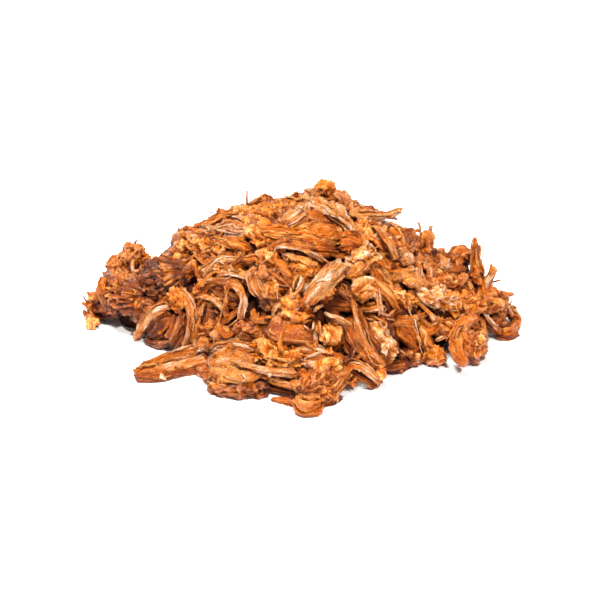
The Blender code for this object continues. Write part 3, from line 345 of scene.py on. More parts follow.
    ("behind_stick", "crumb", "brown", (2, 3.4, 2), 0, (360, 212), (370, 210), (378, 213)),
    # right of the middle
    ("finger", "rope", "pale", (2.6, 3.1, 3.1, 2.8), 13, (376, 226), (383, 236), (391, 246), (396, 259)),
    ("finger_right", "strip", "orange", (2.4, 2.8, 2.4), 7, (390, 229), (399, 237), (404, 250)),
    ("finger_left", "strip", "orange", (1.8, 2.4, 2), 7, (369, 238), (378, 243), (386, 251)),
    ("finger_bed", "crumb", "tan", (6, 8, 7), 3, (372, 236), (384, 246), (393, 258)),
    ("fan_pale", "muscle", "orange", (5, 7, 6), 5, (340, 247), (350, 245), (361, 251)),
    ("fan_upright", "strip", "pale", (1.8, 2.6, 2), 8, (363, 252), (365, 244), (368, 237)),
    ("mid_mass", "crumb", "tan", (7, 8.5, 7), 4, (348, 258), (362, 260), (376, 254)),
    ("mid_plate", "smooth", "tan", (4, 5.4, 4), 6, (345, 275), (356, 271), (368, 264)),
    ("long_pale_strip", "muscle", "pale", (5, 6.4, 7, 6, 3), 10,
     (343, 265), (330, 278), (318, 290), (309, 300), (305, 306)),
    ("strip_root", "strip", "pale", (1.6, 2.6, 2.4), 8, (298, 291), (311, 287), (325, 279)),
    ("strip_tail", "strip", "pale", (1.2, 1.8, 1.4), 9, (313, 312), (318, 308), (323, 305)),
    ("strip_flank", "crumb", "orange", (2.4, 3.4, 2.6), 7, (320, 303), (328, 293), (336, 282)),
    ("needle", "strip", "pale", (1.2, 1.8, 1.8), 9, (324, 313), (337, 318), (351, 324)),
    ("dark_hang", "muscle", "bark", (6, 7, 6), 0, (336, 286), (342, 296), (348, 305)),
    ("square_block", "crumb", "tan", (7, 8, 7), 5, (354, 296), (364, 289), (376, 289)),
    ("block_prong", "strip", "pale", (1.4, 1.8, 1.6), 9, (361, 303), (366, 296), (375, 291)),
    ("right_ridge", "muscle", "orange", (4, 5.4, 5, 4), 6,
     (370, 279), (381, 289), (390, 299), (396, 309)),
    ("upper_mid", "muscle", "orange", (4, 5.4, 5), 4, (369, 263), (378, 275), (386, 289)),
    ("cross_fibre", "strip", "tan", (0.8, 1.2, 1), 9, (352, 280), (363, 269), (375, 257)),
    ("grey_tube", "smooth", "tan", (3.6, 4.4, 4.4), 4, (389, 279), (401, 275), (414, 271)),
    ("right_knob", "smooth", "tan", (4.4, 5.4, 4.4), 5, (401, 258), (407, 260), (413, 263)),
    ("dark_lump", "smooth", "bark", (6, 7, 5), 2, (406, 230), (409, 239), (408, 249)),
    ("ear", "smooth", "tan", (6, 7.2, 7.6), 3, (424, 251), (427, 240), (428, 230)),
    ("ear_tip_left", "strip", "tan", (1.8, 1), 4, (421, 230), (418, 222)),
    ("ear_tip_right", "strip", "tan", (2, 1.4), 3, (430, 232), (431, 225)),
    ("ear_diagonal", "strip", "tan", (1.8, 2.4, 2), 6, (411, 251), (419, 244), (427, 238)),
    ("ear_hollow", "smooth", "char", (5, 6, 5), 1, (419, 258), (428, 256), (437, 254)),
    ("ear_lip", "crumb", "brown", (3, 3.4, 2.8), 3, (434, 263), (439, 256), (439, 248)),
    ("right_fill", "crumb", "orange", (2.8, 3.1, 2.8), 2, (386, 262), (393, 264), (401, 267)),
    ("gap_twig", "strip", "brown", (1.6, 1.8, 1.6), 2, (438, 268), (446, 260), (453, 257)),
    ("back_block", "crumb", "brown", (5, 7, 7, 5), 1, (448, 263), (456, 258), (463, 256), (472, 263)),
    ("back_block_root", "crumb", "brown", (5, 6, 5), 1, (434, 268), (450, 268), (468, 270)),
    ("tall_spike", "muscle", "orange", (5, 5, 5, 4, 1.6), 6,
     (483, 296), (479, 278), (477, 263), (476, 250), (475, 237)),
    ("spike_twin", "strip", "orange", (1.6, 0.9), 7, (479, 253), (480, 244)),
    ("stub", "muscle", "tan", (3.4, 4, 4.4), 6, (486, 290), (490, 279), (494, 267)),
    ("stub_twig", "thread", "orange", 0.9, 3, (491, 283), (496, 281), (501, 280)),
    ("lace_a", "strip", "orange", (1.8, 2.2, 2.2, 2), 6, (430, 283), (441, 280), (449, 272), (466, 271)),
    ("lace_b", "strip", "orange", (1.8, 2.2, 2), 6, (447, 284), (459, 278), (475, 274)),
    ("lace_c", "strip", "tan", (2, 2.4, 2), 6, (416, 262), (419, 271), (418, 282)),
    ("lace_d", "strip", "tan", (2, 2.4, 2), 6, (420, 266), (428, 268), (430, 278)),
    ("lace_bed", "crumb", "brown", (6, 8, 7), 2, (424, 276), (446, 284), (470, 285)),
    ("lace_e", "strip", "orange", (1.6, 2, 1.6), 6, (462, 280), (470, 285), (474, 293)),
    ("knuckle", "smooth", "tan", (3.4, 4.4, 4, 3), 8, (405, 286), (410, 281), (419, 284), (430, 291)),
    ("long_mass_a", "crumb", "tan", (7, 9, 9), 5, (414, 293), (432, 297), (452, 304)),
    ("long_mass_b", "crumb", "orange", (8, 10, 9), 5, (442, 303), (462, 306), (482, 302)),
    ("right_bark", "crumb", "brown", (8, 10, 8), 3, (482, 298), (494, 301), (504, 309)),
    ("bark_fin", "flake", "orange", (3, 3, 1.6), 4, (503, 291), (508, 294), (514, 294)),
    ("bark_fin_low", "strip", "brown", (1.6, 1), 3, (508, 304), (517, 308)),
    ("curl_ring", "muscle", "orange", (3.4, 4.2, 4.6, 4.6, 4), 1,
     (500, 313), (509, 312), (515, 321), (511, 331), (500, 334)),
    ("curl_edge", "strip", "brown", (1.8, 2.2, 1.8), 1, (497, 336), (508, 338), (519, 335)),
    ("curl_root", "muscle", "brown", (6, 6.4, 5), 1, (482, 320), (491, 326), (499, 331)),
    # lower right
    ("lobe_body", "crumb", "brown", (9, 11.6, 12, 10), 0, (475, 322), (469, 335), (468, 347), (468, 357)),
    ("lobe_rind", "smooth", "orange", (4, 5.6, 6, 5.6, 4.4), 12,
     (476, 317), (463, 324), (457, 340), (458, 356), (467, 365)),
    ("lobe_fold_a", "rope", "tan", (1.2, 1.6, 1.2), 17, (466, 322), (458, 331), (457, 344), (462, 356)),
    ("lobe_fold_b", "rope", "tan", (1.6, 2.2, 1.8), 17, (474, 322), (466, 332), (464, 345), (468, 357)),
    ("lobe_crumbs", "crumb", "orange", (2.6, 3.1, 2.8), 16, (478, 330), (478, 343), (475, 357)),
    ("lobe_strand_a", "strip", "tan", (1.6, 2, 1.6), 6, (482, 311), (490, 321), (499, 331)),
    ("lobe_strand_b", "strip", "tan", (1.8, 2.2, 1.6), 6, (480, 317), (484, 330), (487, 342)),
    ("dark_plate", "muscle", "char", (4, 5, 4), 2, (397, 303), (405, 308), (413, 314)),
    ("left_mass", "crumb", "orange", (4, 6, 5), 5, (388, 295), (400, 296), (415, 307)),
    ("cross_twig", "strip", "tan", (1.6, 2.4, 2, 1.4), 8, (391, 325), (403, 321), (415, 317), (429, 312)),
    ("hang_one", "muscle", "orange", (5, 7, 7.4, 6.4), 5, (396, 317), (403, 327), (410, 338), (416, 348)),
    ("hang_two", "muscle", "orange", (4, 5.4, 6, 6), 4, (418, 323), (424, 335), (430, 348), (434, 356)),
    ("hang_two_foot", "crumb", "orange", (6, 8, 6), 1, (428, 352), (434, 357), (435, 362)),
    ("hang_three", "muscle", "tan", (4, 5, 4), 3, (435, 320), (438, 329), (442, 338)),
    ("hang_crumbs", "crumb", "tan", (3, 5, 4), 4, (442, 322), (447, 325), (450, 328)),
    ("low_twig", "strip", "pale", (1.4, 1.8, 1.4), 7, (435, 341), (443, 337), (450, 332)),
    ("low_brown", "crumb", "brown", (5, 6.4, 5), 1, (398, 355), (410, 357), (422, 358)),
    ("low_pin", "thread", "pale", 1.0, 6, (400, 350), (409, 357), (419, 363)),
    ("floor_plate", "muscle", "brown", (3, 4, 3), 0, (384, 366), (396, 367), (410, 364)),
    ("rocky_block", "crumb", "tan", (7, 8.5, 9, 7.5), 5, (371, 324), (378, 335), (385, 347), (392, 357)),
    ("rocky_left", "muscle", "brown", (3, 4, 3), 6, (366, 322), (373, 340), (384, 358)),
    ("squiggle_a", "thread", "pale", 0.8, 9, (374, 316), (380, 320), (387, 323)),
    ("squiggle_b", "thread", "pale", 0.7, 9, (366, 318), (369, 319), (373, 320)),
    ("squiggle_c", "thread", "pale", 0.7, 9, (384, 317), (389, 319), (395, 320)),
    ("small_block", "muscle", "tan", (4, 4.6, 4), 5, (364, 309), (372, 309), (380, 307)),
    ("rope_pale", "strip", "tan", (1.4, 2.2, 2.8, 3, 2.4), 8,
     (351, 298), (356, 317), (361, 334), (370, 350), (385, 368)),
    ("rope_mid", "muscle", "brown", (3, 3.4, 3.6, 3), 6, (349, 318), (353, 336), (362, 352), (380, 371)),
    ("rope_dark", "muscle", "bark", (3, 3.8, 4, 3), 3, (342, 326), (347, 343), (356, 358), (374, 373)),
    ("rope_right", "strip", "brown", (2, 2.4, 2.4), 7, (359, 308), (363, 328), (372, 345)),
    ("rope_end", "crumb", "orange", (3, 4, 3), 3, (377, 369), (382, 373), (384, 378)),
    # front
    ("orange_leaf", "flake", "orange", (2, 4, 5, 4), 7, (324, 348), (329, 354), (337, 358), (346, 359)),
    ("back_bar", "muscle", "tan", (2.4, 3, 3), 5, (289, 348), (305, 348), (322, 350)),
    ("orange_slab", "crumb", "orange", (8, 9.5, 8, 6), 4, (256, 356), (272, 354), (288, 358), (306, 361)),
    ("slab_right", "muscle", "tan", (5, 6, 4), 5, (302, 361), (313, 361), (326, 361)),
    ("hump", "muscle", "tan", (5, 6, 5.4, 4), 5, (211, 350), (224, 345), (240, 345), (254, 350)),
    ("hump_left", "smooth", "tan", (5.4, 6.4, 5.4), 4, (213, 371), (216, 361), (222, 353)),
    ("hump_core", "smooth", "tan", (7, 8.5, 7), 2, (216, 366), (230, 362), (246, 363)),
    ("hump_hollow", "smooth", "brown", (4, 4.6, 4), 2, (236, 359), (245, 358), (255, 359)),
    ("hump_arc", "strip", "orange", (1.6, 2.2, 1.8), 6, (231, 360), (237, 353), (249, 352)),
    ("long_bar", "rope", "pale", (2.4, 3.2, 3.2, 2.8), 8, (230, 362), (250, 367), (272, 371), (295, 373)),
    ("under_bar", "muscle", "orange", (3, 4, 3.4), 4, (228, 369), (250, 373), (272, 377)),
    ("pale_flap", "flake", "pale", (3.4, 5.8, 5.6, 3.4), 9,
     (211, 373), (227, 375), (243, 377), (262, 374)),
    ("low_bark", "crumb", "bark", (5, 6.4, 6.4, 5.4), 0, (209, 383), (225, 388), (246, 390), (270, 388)),
    ("low_bark_tip", "crumb", "tan", (2, 3), 1, (206, 381), (214, 379)),
    ("tail_strand", "strip", "tan", (2.8, 3.1, 3.1), 4, (264, 377), (280, 383), (296, 388)),
    ("under_tail", "strip", "brown", (2.6, 3, 3), 0, (266, 387), (281, 391), (296, 397)),
    ("inner_brown", "smooth", "brown", (4, 5, 4), 1, (296, 374), (304, 375), (312, 375)),
    ("inner_hair", "thread", "pale", 0.8, 8, (305, 359), (308, 364), (312, 370)),
    ("clump", "crumb", "brown", (8, 11, 11, 7), 3, (303, 394), (316, 387), (330, 378), (343, 369)),
    ("clump_top", "crumb", "orange", (4, 6, 5), 6, (314, 374), (327, 369), (340, 367)),
    ("clump_left", "smooth", "tan", (3.4, 5, 5), 4, (289, 383), (298, 386), (305, 392)),
    ("clump_strand_a", "strip", "orange", (2, 2.8, 2.6, 2), 8,
     (318, 401), (331, 390), (343, 376), (353, 364)),
    ("clump_strand_b", "strip", "tan", (1.6, 2, 1.8), 6, (325, 402), (337, 391), (351, 374)),
    ("clump_keel", "muscle", "orange", (4.4, 6.4, 5), 2, (295, 401), (306, 407), (322, 403)),
    ("pale_tab", "flake", "pale", (3.6, 4.4, 3), 7, (299, 393), (304, 397), (310, 402)),
    ("sliver", "strip", "orange", (1.6, 3, 3), 1, (270, 399), (285, 401), (301, 406)),
    ("front_bit", "strip", "orange", (2.2, 2.8, 2.2), 0, (322, 405), (333, 402), (342, 397)),
    ("leg", "strip", "tan", (2.8, 3.4, 3.4, 3), 5, (345, 366), (358, 366), (370, 373), (380, 382)),
    ("leg_under", "muscle", "brown", (2, 2.8, 2.4), 1, (350, 373), (364, 378), (378, 385)),
    ("small_bit", "crumb", "orange", (2, 2.6), 1, (345, 385), (357, 381)),
)


# Noise and curves, as whole arrays


def unit(a):
    """Each vector of an array, made unit length."""
    return a / np.maximum(np.linalg.norm(a, axis=-1, keepdims=True), 1e-9)


def unit_cross(a, b):
    """Cross product of two arrays of vectors, made unit length."""
    return unit(np.cross(a, b))


def smooth_step(low, high, x):
    """Nought below low, one above high, and 3t^2 - 2t^3 between them."""
    t = np.clip((x - low) / (high - low), 0, 1)
    return t * t * (3 - 2 * t)


def slopes_of(cell, seed):
    """A fixed slope vector for each whole-number point: the point's numbers are multiplied by large odd
    numbers and mixed, and three groups of bits of the result give the vector."""
    x, y, z = (cell[..., k].astype(np.uint32) for k in range(3))
    h = x * np.uint32(73856093) ^ y * np.uint32(19349663) ^ z * np.uint32(83492791)
    h = (h ^ np.uint32((seed * 2654435761) % 4294967296)) * np.uint32(2246822519)
    h = (h ^ (h >> np.uint32(15))) * np.uint32(3266489917)
    h = h ^ (h >> np.uint32(13))
    ten_bits = np.uint32(1023)
    parts = [(h >> np.uint32(shift)) & ten_bits for shift in (0, 10, 20)]
    return np.stack([part.astype(np.float32) / 511.5 - 1 for part in parts], axis=-1)


def noise(x, y, z, seed=0):
    """Smooth noise from about -1 to 1. Each corner of the cell round a point has a random slope, and the
    eight slopes' heights are blended by 6t^5 - 15t^4 + 10t^3 along each axis, and raised by a gain."""
    gain = 1.35
    point = np.stack(np.broadcast_arrays(x, y, z), axis=-1).astype(np.float32)
    cell = np.floor(point).astype(np.int32)
    part = point - cell
    fade = part * part * part * (part * (part * 6 - 15) + 10)
    total = np.zeros(point.shape[:-1], np.float32)
    for corner in range(8):
        step = np.array([corner & 1, corner >> 1 & 1, corner >> 2 & 1], np.int32)
        height = (slopes_of(cell + step, seed) * (part - step)).sum(-1)
        total += height * np.where(step, fade, 1 - fade).prod(-1)
    return total * gain


def smooth_path(points, count):
    """A curve through the points, and its length: between two points it is the cubic whose slopes at
    them are half the step from the point before to the point after. It is given at an even number of
    steps of its length, or at the shares of its length that are given."""
    fine = 20
    points = np.asarray(points, float)
    p = np.vstack([2 * points[0] - points[1], points, 2 * points[-1] - points[-2]])
    u = np.linspace(0, len(points) - 1, fine * (len(points) - 1) + 1)
    k = np.minimum(u.astype(int), len(points) - 2)
    t = (u - k)[:, None]
    a, b, c, d = p[k], p[k + 1], p[k + 2], p[k + 3]
    square, cube = 2 * a - 5 * b + 4 * c - d, 3 * b - a - 3 * c + d
    curve = 0.5 * (2 * b + (c - a) * t + square * t**2 + cube * t**3)
    gone = np.concatenate([[0], np.cumsum(np.linalg.norm(np.diff(curve, axis=0), axis=1))])
    at = np.linspace(0, gone[-1], count) if np.isscalar(count) else np.asarray(count) * gone[-1]
    return np.stack([np.interp(at, gone, curve[:, k]) for k in range(3)], axis=1), gone[-1]


# The bed and the line of sight


def bed_height(x, y):
    """Height of the bed: each mound is height * (1 - distance^2)^0.7, and the mounds' third powers add up.
    Outside them it is the highest of height * (1 - distance^2), which is below nought."""
    inside = np.zeros(np.shape(x))
    outside = np.full(np.shape(x), -1e9)
    for cx, cy, half_width, half_depth, height in MOUNDS:
        left = 1 - ((x - cx) / half_width) ** 2 - ((y - cy) / half_depth) ** 2
        inside = inside + (height * np.clip(left, 0, 1) ** MOUND_SHAPE) ** MOUND_BLEND
        outside = np.maximum(outside, height * left)
    return np.where(inside > 0, inside ** (1 / MOUND_BLEND), np.minimum(outside, 0))


def bed_outward(x, y):
    """The direction straight out of the bed, from its slopes over a few millimetres."""
    step = 4.0
    slope_x = (bed_height(x + step, y) - bed_height(x - step, y)) / (2 * step)
    slope_y = (bed_height(x, y + step) - bed_height(x, y - step)) / (2 * step)
    return unit(np.stack([-slope_x, -slope_y, np.ones(np.shape(x))], axis=-1))


VIEW_FORWARD = np.array([0, math.cos(VIEW_ELEVATION), -math.sin(VIEW_ELEVATION)])
VIEW_UP = np.array([0, math.sin(VIEW_ELEVATION), math.cos(VIEW_ELEVATION)])
VIEW_RIGHT = np.array([1.0, 0, 0])
EYE = np.array(VIEW_TARGET) - VIEW_DISTANCE * VIEW_FORWARD


def seen_points(pixels, half, lift):
    """The points of the heap under pixels of the picture, and the directions to the eye.

    Each line of sight is followed to the bed, or to the ground in front of it with the shred's half
    depth on the ground. One that passes over both stops where it comes closest to the bed.
    """
    pixels = np.asarray(pixels, float)
    across = (pixels[:, :1] - PICTURE / 2) / FOCAL
    down = (pixels[:, 1:] - PICTURE / 2) / FOCAL
    rays = unit(VIEW_FORWARD + VIEW_RIGHT * across - VIEW_UP * down)
    steps = np.arange(VIEW_DISTANCE - SIGHT_BEFORE, VIEW_DISTANCE + SIGHT_PAST, SIGHT_STEP)
    points = EYE + steps[None, :, None] * rays[:, None, :]
    bed = bed_height(points[..., 0], points[..., 1])
    over = points[..., 2] - np.maximum(bed, half)
    hit = np.argmax(over < 0, axis=1)
    row = np.arange(len(pixels))
    behind = points[row, hit, 1]
    on_ground = bed[row, hit] <= half
    missed = (over[row, hit] >= 0) | (on_ground & (behind > BACK_OF_GROUND)) | (behind > BACK_OF_BED)
    near = np.where(np.abs(points[..., 1]) < BACK_OF_BED, bed - points[..., 2], -1e9)
    hit = np.where(missed, np.argmax(near, axis=1), hit)
    return points[row, hit] - rays * np.asarray(lift)[:, None], -rays


def past_outline(points):
    """How many pixels points are seen above the heap's upper outline in the picture, and below its foot."""
    away = points - EYE
    depth = away @ VIEW_FORWARD
    x = PICTURE / 2 + FOCAL * (away @ VIEW_RIGHT) / depth
    y = PICTURE / 2 - FOCAL * (away @ VIEW_UP) / depth
    top = np.interp(x, *zip(*SKYLINE), left=PICTURE, right=PICTURE)
    foot = np.interp(x, *zip(*FOOT_LINE), left=0, right=0)
    return (top - y).max(), (y - foot).max()


# Colour


def linear(colour):
    """Linear light of a colour given in 0 to 255, by the usual curve with its straight foot."""
    c = np.asarray(colour, float) / 255
    return np.where(c <= 0.04045, c / 12.92, ((c + 0.055) / 1.055) ** 2.4)


def toned(tone, relief):
    """The tone's colour at a relief of 0 to 1: two straight mixes, creases to middle to ridge tops."""
    low, middle, high = (linear(c) / LIGHT_GAIN for c in TONES[tone])
    r = np.clip(relief, 0, 1)[..., None]
    return np.where(r < 0.5, low + (middle - low) * 2 * r, middle + (high - middle) * (2 * r - 1))


def meat_colour(points, relief, tone, seed):
    """Colour of the meat: the piece's tone by relief, patches of sauce and of browning by slow noise, random
    specks, and painted shade, darker and nearer the crease colour, where the surface lies deep between the
    shreds."""
    x, y, z = (points[..., k] for k in range(3))
    # Painted shade: below the shreds' mean height the relief falls towards the crease colour and the colour
    # is darkened down to 0.6.
    unshaded = smooth_step(*SHADE_HEIGHTS, z - laid_height(x, y))
    relief = relief * (0.35 + 0.65 * unshaded)
    colour = toned(tone, relief)
    for patch_tone, size, shift, begin, whole, share, patch_seed in PATCHES:
        patch = smooth_step(begin, whole, noise(x / size + shift, y / size, z / size, patch_seed))
        colour = colour + (toned(patch_tone, relief) - colour) * (share * patch)[..., None]
    speck_and_shade = (1 + 0.14 * noise(x / 1.3, y / 1.3, z / 1.3, seed)) * (0.6 + 0.4 * unshaded)
    return colour * speck_and_shade[..., None]


# Surfaces


class Pile:
    """Closed grids of one kind of piece, gathered to be written as one mesh."""

    def __init__(self):
        self.points, self.faces, self.uvs, self.colours = [], [], [], []
        self.count = 0

    def add(self, points, uv, colour):
        """Grids x rows x columns of points: the columns join round, the ends close on a middle point."""
        grids, rows, columns = points.shape[:3]
        row, column = np.mgrid[0 : rows - 1, 0:columns]
        after = (column + 1) % columns
        here, next_row = row * columns, (row + 1) * columns
        corners = (here + column, next_row + column, next_row + after, here + after)
        quads = np.stack(corners, axis=-1).reshape(-1, 4)
        ring = np.arange(columns)
        turn = (ring + 1) % columns
        top = (rows - 1) * columns
        first, last = np.full(columns, rows * columns), np.full(columns, rows * columns + 1)
        start = np.stack([ring, turn, first, first], axis=-1)
        end = np.stack([top + turn, top + ring, last, last], axis=-1)
        faces = np.vstack([quads, start, end])
        size = rows * columns + 2
        base = self.count + size * np.arange(grids)
        self.faces.append((faces[None] + base[:, None, None]).reshape(-1, 4))
        for store, values in ((self.points, points), (self.uvs, uv), (self.colours, colour)):
            depth = values.shape[-1]
            ends = np.stack([values[:, 0].mean(1), values[:, -1].mean(1)], axis=1)
            whole = np.concatenate([values.reshape(grids, -1, depth), ends], axis=1)
            store.append(whole.reshape(-1, depth))
        self.count += size * grids

    def write(self, name, material, smooth=True):
        """One mesh object of all the grids, with a UV map in metres and a colour for each point."""
        points = (np.vstack(self.points) - np.array(BOX_MIDDLE)) * MM
        points[:, 2] = np.maximum(points[:, 2], FLOOR_GAP * MM)
        faces = np.vstack(self.faces)
        three = faces[:, 2] == faces[:, 3]
        sizes = np.where(three, 3, 4)
        keep = np.ones(faces.shape, bool)
        keep[three, 3] = False
        corners = faces[keep]
        mesh = bpy.data.meshes.new(name)
        mesh.vertices.add(len(points))
        mesh.vertices.foreach_set("co", points.astype(np.float32).ravel())
        mesh.loops.add(len(corners))
        mesh.loops.foreach_set("vertex_index", corners.astype(np.int32))
        mesh.polygons.add(len(sizes))
        starts = np.concatenate([[0], np.cumsum(sizes)[:-1]])
        mesh.polygons.foreach_set("loop_start", starts.astype(np.int32))
        mesh.update(calc_edges=True)
        mesh.polygons.foreach_set("use_smooth", np.full(len(sizes), smooth))
        layer = mesh.uv_layers.new(name="fibre")
        layer.data.foreach_set("uv", np.vstack(self.uvs)[corners].astype(np.float32).ravel())
        shade = mesh.color_attributes.new("meat", "FLOAT_COLOR", "POINT")
        colours = np.clip(np.vstack(self.colours), 0, 1)
        colours = np.hstack([colours, np.ones((len(colours), 1))])
        shade.data.foreach_set("color", colours.astype(np.float32).ravel())
        mesh.materials.append(material)
        body = bpy.data.objects.new(name, mesh)
        bpy.context.scene.collection.objects.link(body)
        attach(body, "root")
        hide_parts(NODE)


def ridges(x, y, z, seed, crest):
    """Relief from 0 to 1: |n|, which has rounded ridges and sharp creases, mixed with 1 - |n|, which has
    sharp crests and rounded hollows, in the share given."""
    size = np.clip(np.abs(noise(x, y, z, seed)) * 2.2, 0, 1)
    return size + crest * (1 - 2 * size)


def row_places(length, end, spacing):
    """Distances along a shred for its rows: rounded ends get rows at even angles, the rest even steps."""
    end = min(end, 0.45 * length)
    cap = end * (1 - np.cos(np.linspace(0.12, math.pi / 2, 5)))
    middle = np.linspace(end, length - end, max(3, int(round((length - 2 * end) / spacing)) + 1))[1:-1]
    return np.concatenate([cap, middle, (length - cap)[::-1]]), end


def shred(pile, kind, tone, path, outward, widths, seed, spacing):
    """One shred, and what is needed to lay fibres on it.

    An ellipse of half width a and half depth b is carried along a smooth path. Its outline is pushed
    along its own outward direction by h1 |n1| + h2 |n2| + h3 n3: two sizes of noise stretched along the
    path, whose creases part the fibres, and broad lumps. Towards the ends the ellipse closes as a quarter
    circle, and its points are moved along the path by noise over the section, which tears the ends.
    """
    form = KINDS[kind]
    _, length = smooth_path(path, 8)
    widths = np.atleast_1d(np.asarray(widths, float))
    widest = float(widths.max())
    along, end = row_places(length, form["end"] * widest, spacing)
    share = np.clip(along / length, 0, 1)
    centre, _ = smooth_path(path, share)
    tangent = unit(np.gradient(centre, axis=0))
    outward = np.asarray(outward)
    given = np.linspace(0, 1, len(outward))
    out = np.stack([np.interp(share, given, outward[:, k]) for k in range(3)], axis=1)
    side = unit_cross(tangent, out)
    out = np.cross(side, tangent)
    depth = form["depth"]
    around = max(7, int(math.ceil(math.pi * widest * (1 + depth) / 2 / (spacing * 0.9))))
    place, turn = along[:, None], (np.arange(around) / around * 2 * math.pi)[None, :]
    across, deep = np.cos(turn), np.sin(turn)
    half = np.interp(share, np.linspace(0, 1, len(widths)), widths)[:, None] / 2
    swell = 1 + 0.26 * noise(place / 7, 0.5, seed * 1.7, seed) + 0.14 * noise(place / 2.6, 0.2, seed, seed)
    half = half * swell
    near = np.clip(np.minimum(place, length - place) / max(end, 1e-6), 0, 1)
    closing = np.sqrt(1 - (1 - near) ** 2)
    lumps = form["lump"]
    uneven = 1 + 0.32 * noise(across * 0.9, deep * 0.9, place / (2.4 * lumps[1]) + seed * 2.3, seed + 5)
    flat_x, flat_y = half * across * uneven * closing, half * depth * deep * uneven * closing
    warp_x = 0.8 * noise(flat_x / 3, flat_y / 3, place / 5 + seed, seed + 1)
    warp_y = 0.8 * noise(flat_x / 3 + 9, flat_y / 3, place / 5 + seed, seed + 1)
    x, y = flat_x + warp_x, flat_y + warp_y
    (high, wide, long), (small_high, small_wide, small_long) = form["coarse"], form["fine"]
    coarse = ridges(x / wide, y / wide, place / long + seed * 3.1, seed + 2, form["crest"])
    fine = ridges(x / small_wide, y / small_wide, place / small_long + seed * 1.9, seed + 3, form["crest"])
    lump = noise(flat_x / lumps[1], flat_y / lumps[1], place / lumps[1] + seed, seed + 4)
    torn = smooth_step(1.5 * widest, 0, np.minimum(place, length - place))
    push = high * (1 + 0.8 * torn) * (coarse - 0.5) + small_high * (fine - 0.5) + lumps[0] * lump
    push = np.clip(push * np.minimum(1, half / 2.0), -0.6 * half * depth * closing, 1.8)
    normal_x, normal_y = across * depth, deep
    norm = np.sqrt(normal_x**2 + normal_y**2)
    local_x = flat_x + push * normal_x / norm * np.sqrt(closing)
    local_y = flat_y + push * normal_y / norm * np.sqrt(closing)
    bow = 0.25 * noise(np.array(seed * 0.37), 0.2, 0.7, 9) * widest
    local_y = local_y - bow * (across**2 - 0.5) * closing
    twist = 0.6 * noise(place / 14, seed * 0.77, 0.3, seed + 6)
    turned_x = local_x * np.cos(twist) - local_y * np.sin(twist)
    turned_y = local_x * np.sin(twist) + local_y * np.cos(twist)
    edge = smooth_step(1.4 * widest, 0, place) - smooth_step(1.4 * widest, 0, length - place)
    grain = 0.6 * noise(x / 2.4, y / 2.4, seed * 1.3, seed + 7)
    grain = grain + 0.4 * noise(x / 1.1, y / 1.1, seed * 1.3, seed + 8)
    points = centre[:, None, :] + side[:, None, :] * turned_x[..., None]
    points = points + out[:, None, :] * turned_y[..., None]
    points = points + tangent[:, None, :] * (form["tear"] * min(widest, 7) * grain * edge)[..., None]
    fibre_tone = noise(x / 1.3, y / 1.3, place / 24 + seed, seed + 9)
    fair = 0.12 * noise(np.array(seed * 0.61), 0.4, 0.1, 12)
    relief = fair - form["dark"] + 0.55 * coarse + 0.36 * fine
    # Painted light: the side facing out, towards the eye and up, is made lighter and the side facing in
    # darker, by 0.12 of deep.
    relief = relief + 0.22 * lump + 0.12 * deep + 0.26 * fibre_tone
    colour = meat_colour(points, relief, tone, seed)
    flat_v = turn / (2 * math.pi) * widest * 2.8 * MM
    uv = np.stack(np.broadcast_arrays(place * MM + seed * 0.013, flat_v), axis=-1)
    pile.add(points[None], uv[None], colour[None])
    rise = np.gradient(points, axis=0)
    swing = np.roll(points, -1, axis=1) - np.roll(points, 1, axis=1)
    normals = unit_cross(rise, swing)
    return {
        "points": points, "normals": normals, "along": along, "length": length, "width": widest,
        "kind": kind, "tone": tone, "seed": seed,
    }


def on_surface(surface, place, turn):
    """Points and outward directions of a shred at places along it and angles round it."""
    rows, columns = surface["points"].shape[:2]
    row = np.clip(np.interp(place, surface["along"], np.arange(rows)), 0, rows - 1.001)
    column = np.mod(turn / (2 * math.pi), 1) * columns
    r, c = row.astype(int), column.astype(int) % columns
    u, v = (row - r)[..., None], (column - np.floor(column))[..., None]
    found = []
    for values in (surface["points"], surface["normals"]):
        low = values[r, c] * (1 - v) + values[r, (c + 1) % columns] * v
        high = values[r + 1, c] * (1 - v) + values[r + 1, (c + 1) % columns] * v
        found.append(low * (1 - u) + high * u)
    return found[0], unit(found[1])


def tubes(pile, centre, out, radius, tone, relief, seed, columns=5):
    """Many thin strands: a ring of a few points, flattened to 0.7, carried along each path and closed at
    its ends by the 0.6th power of a parabola. Noise bends the path and swells the ring."""
    count, rows = centre.shape[:2]
    x, y, z = (centre[..., k] for k in range(3))
    kink = [noise(x / 2.6 + 7 * k, y / 2.6, z / 2.6, seed + k) for k in range(3)]
    centre = centre + 0.45 * np.stack(kink, axis=-1)
    tangent = unit(np.gradient(centre, axis=1))
    side = unit_cross(tangent, out)
    up = np.cross(side, tangent)
    t = np.linspace(0.02, 0.98, rows)
    closing = (4 * t * (1 - t)) ** 0.6
    turn = np.arange(columns) / columns * 2 * math.pi
    swell = 1 + 0.35 * noise(x / 1.6, y / 1.6, z / 1.6, seed + 5)
    size = (radius[:, None] * closing * swell)[..., None, None]
    ring = np.cos(turn)[:, None] * side[:, :, None] + 0.7 * np.sin(turn)[:, None] * up[:, :, None]
    points = centre[:, :, None] + size * ring
    # Painted light: the upper side of each strand is made lighter and its under side darker.
    shine = relief[:, None, None] + 0.2 * np.sin(turn)
    shine = shine + 0.3 * noise(points[..., 0] / 1.8, points[..., 1] / 1.8, points[..., 2] / 1.8, seed)
    colour = meat_colour(points, shine, tone, seed)
    steps = np.linalg.norm(np.diff(centre, axis=1), axis=-1)
    gone = np.concatenate([np.zeros((count, 1)), np.cumsum(steps, axis=1)], axis=1)
    start = (np.arange(count) * 0.0137)[:, None, None]
    flat_u, flat_v = gone[..., None] * MM + start, turn * radius[:, None, None] * MM
    uv = np.stack(np.broadcast_arrays(flat_u, flat_v), axis=-1)
    pile.add(points, uv, colour)


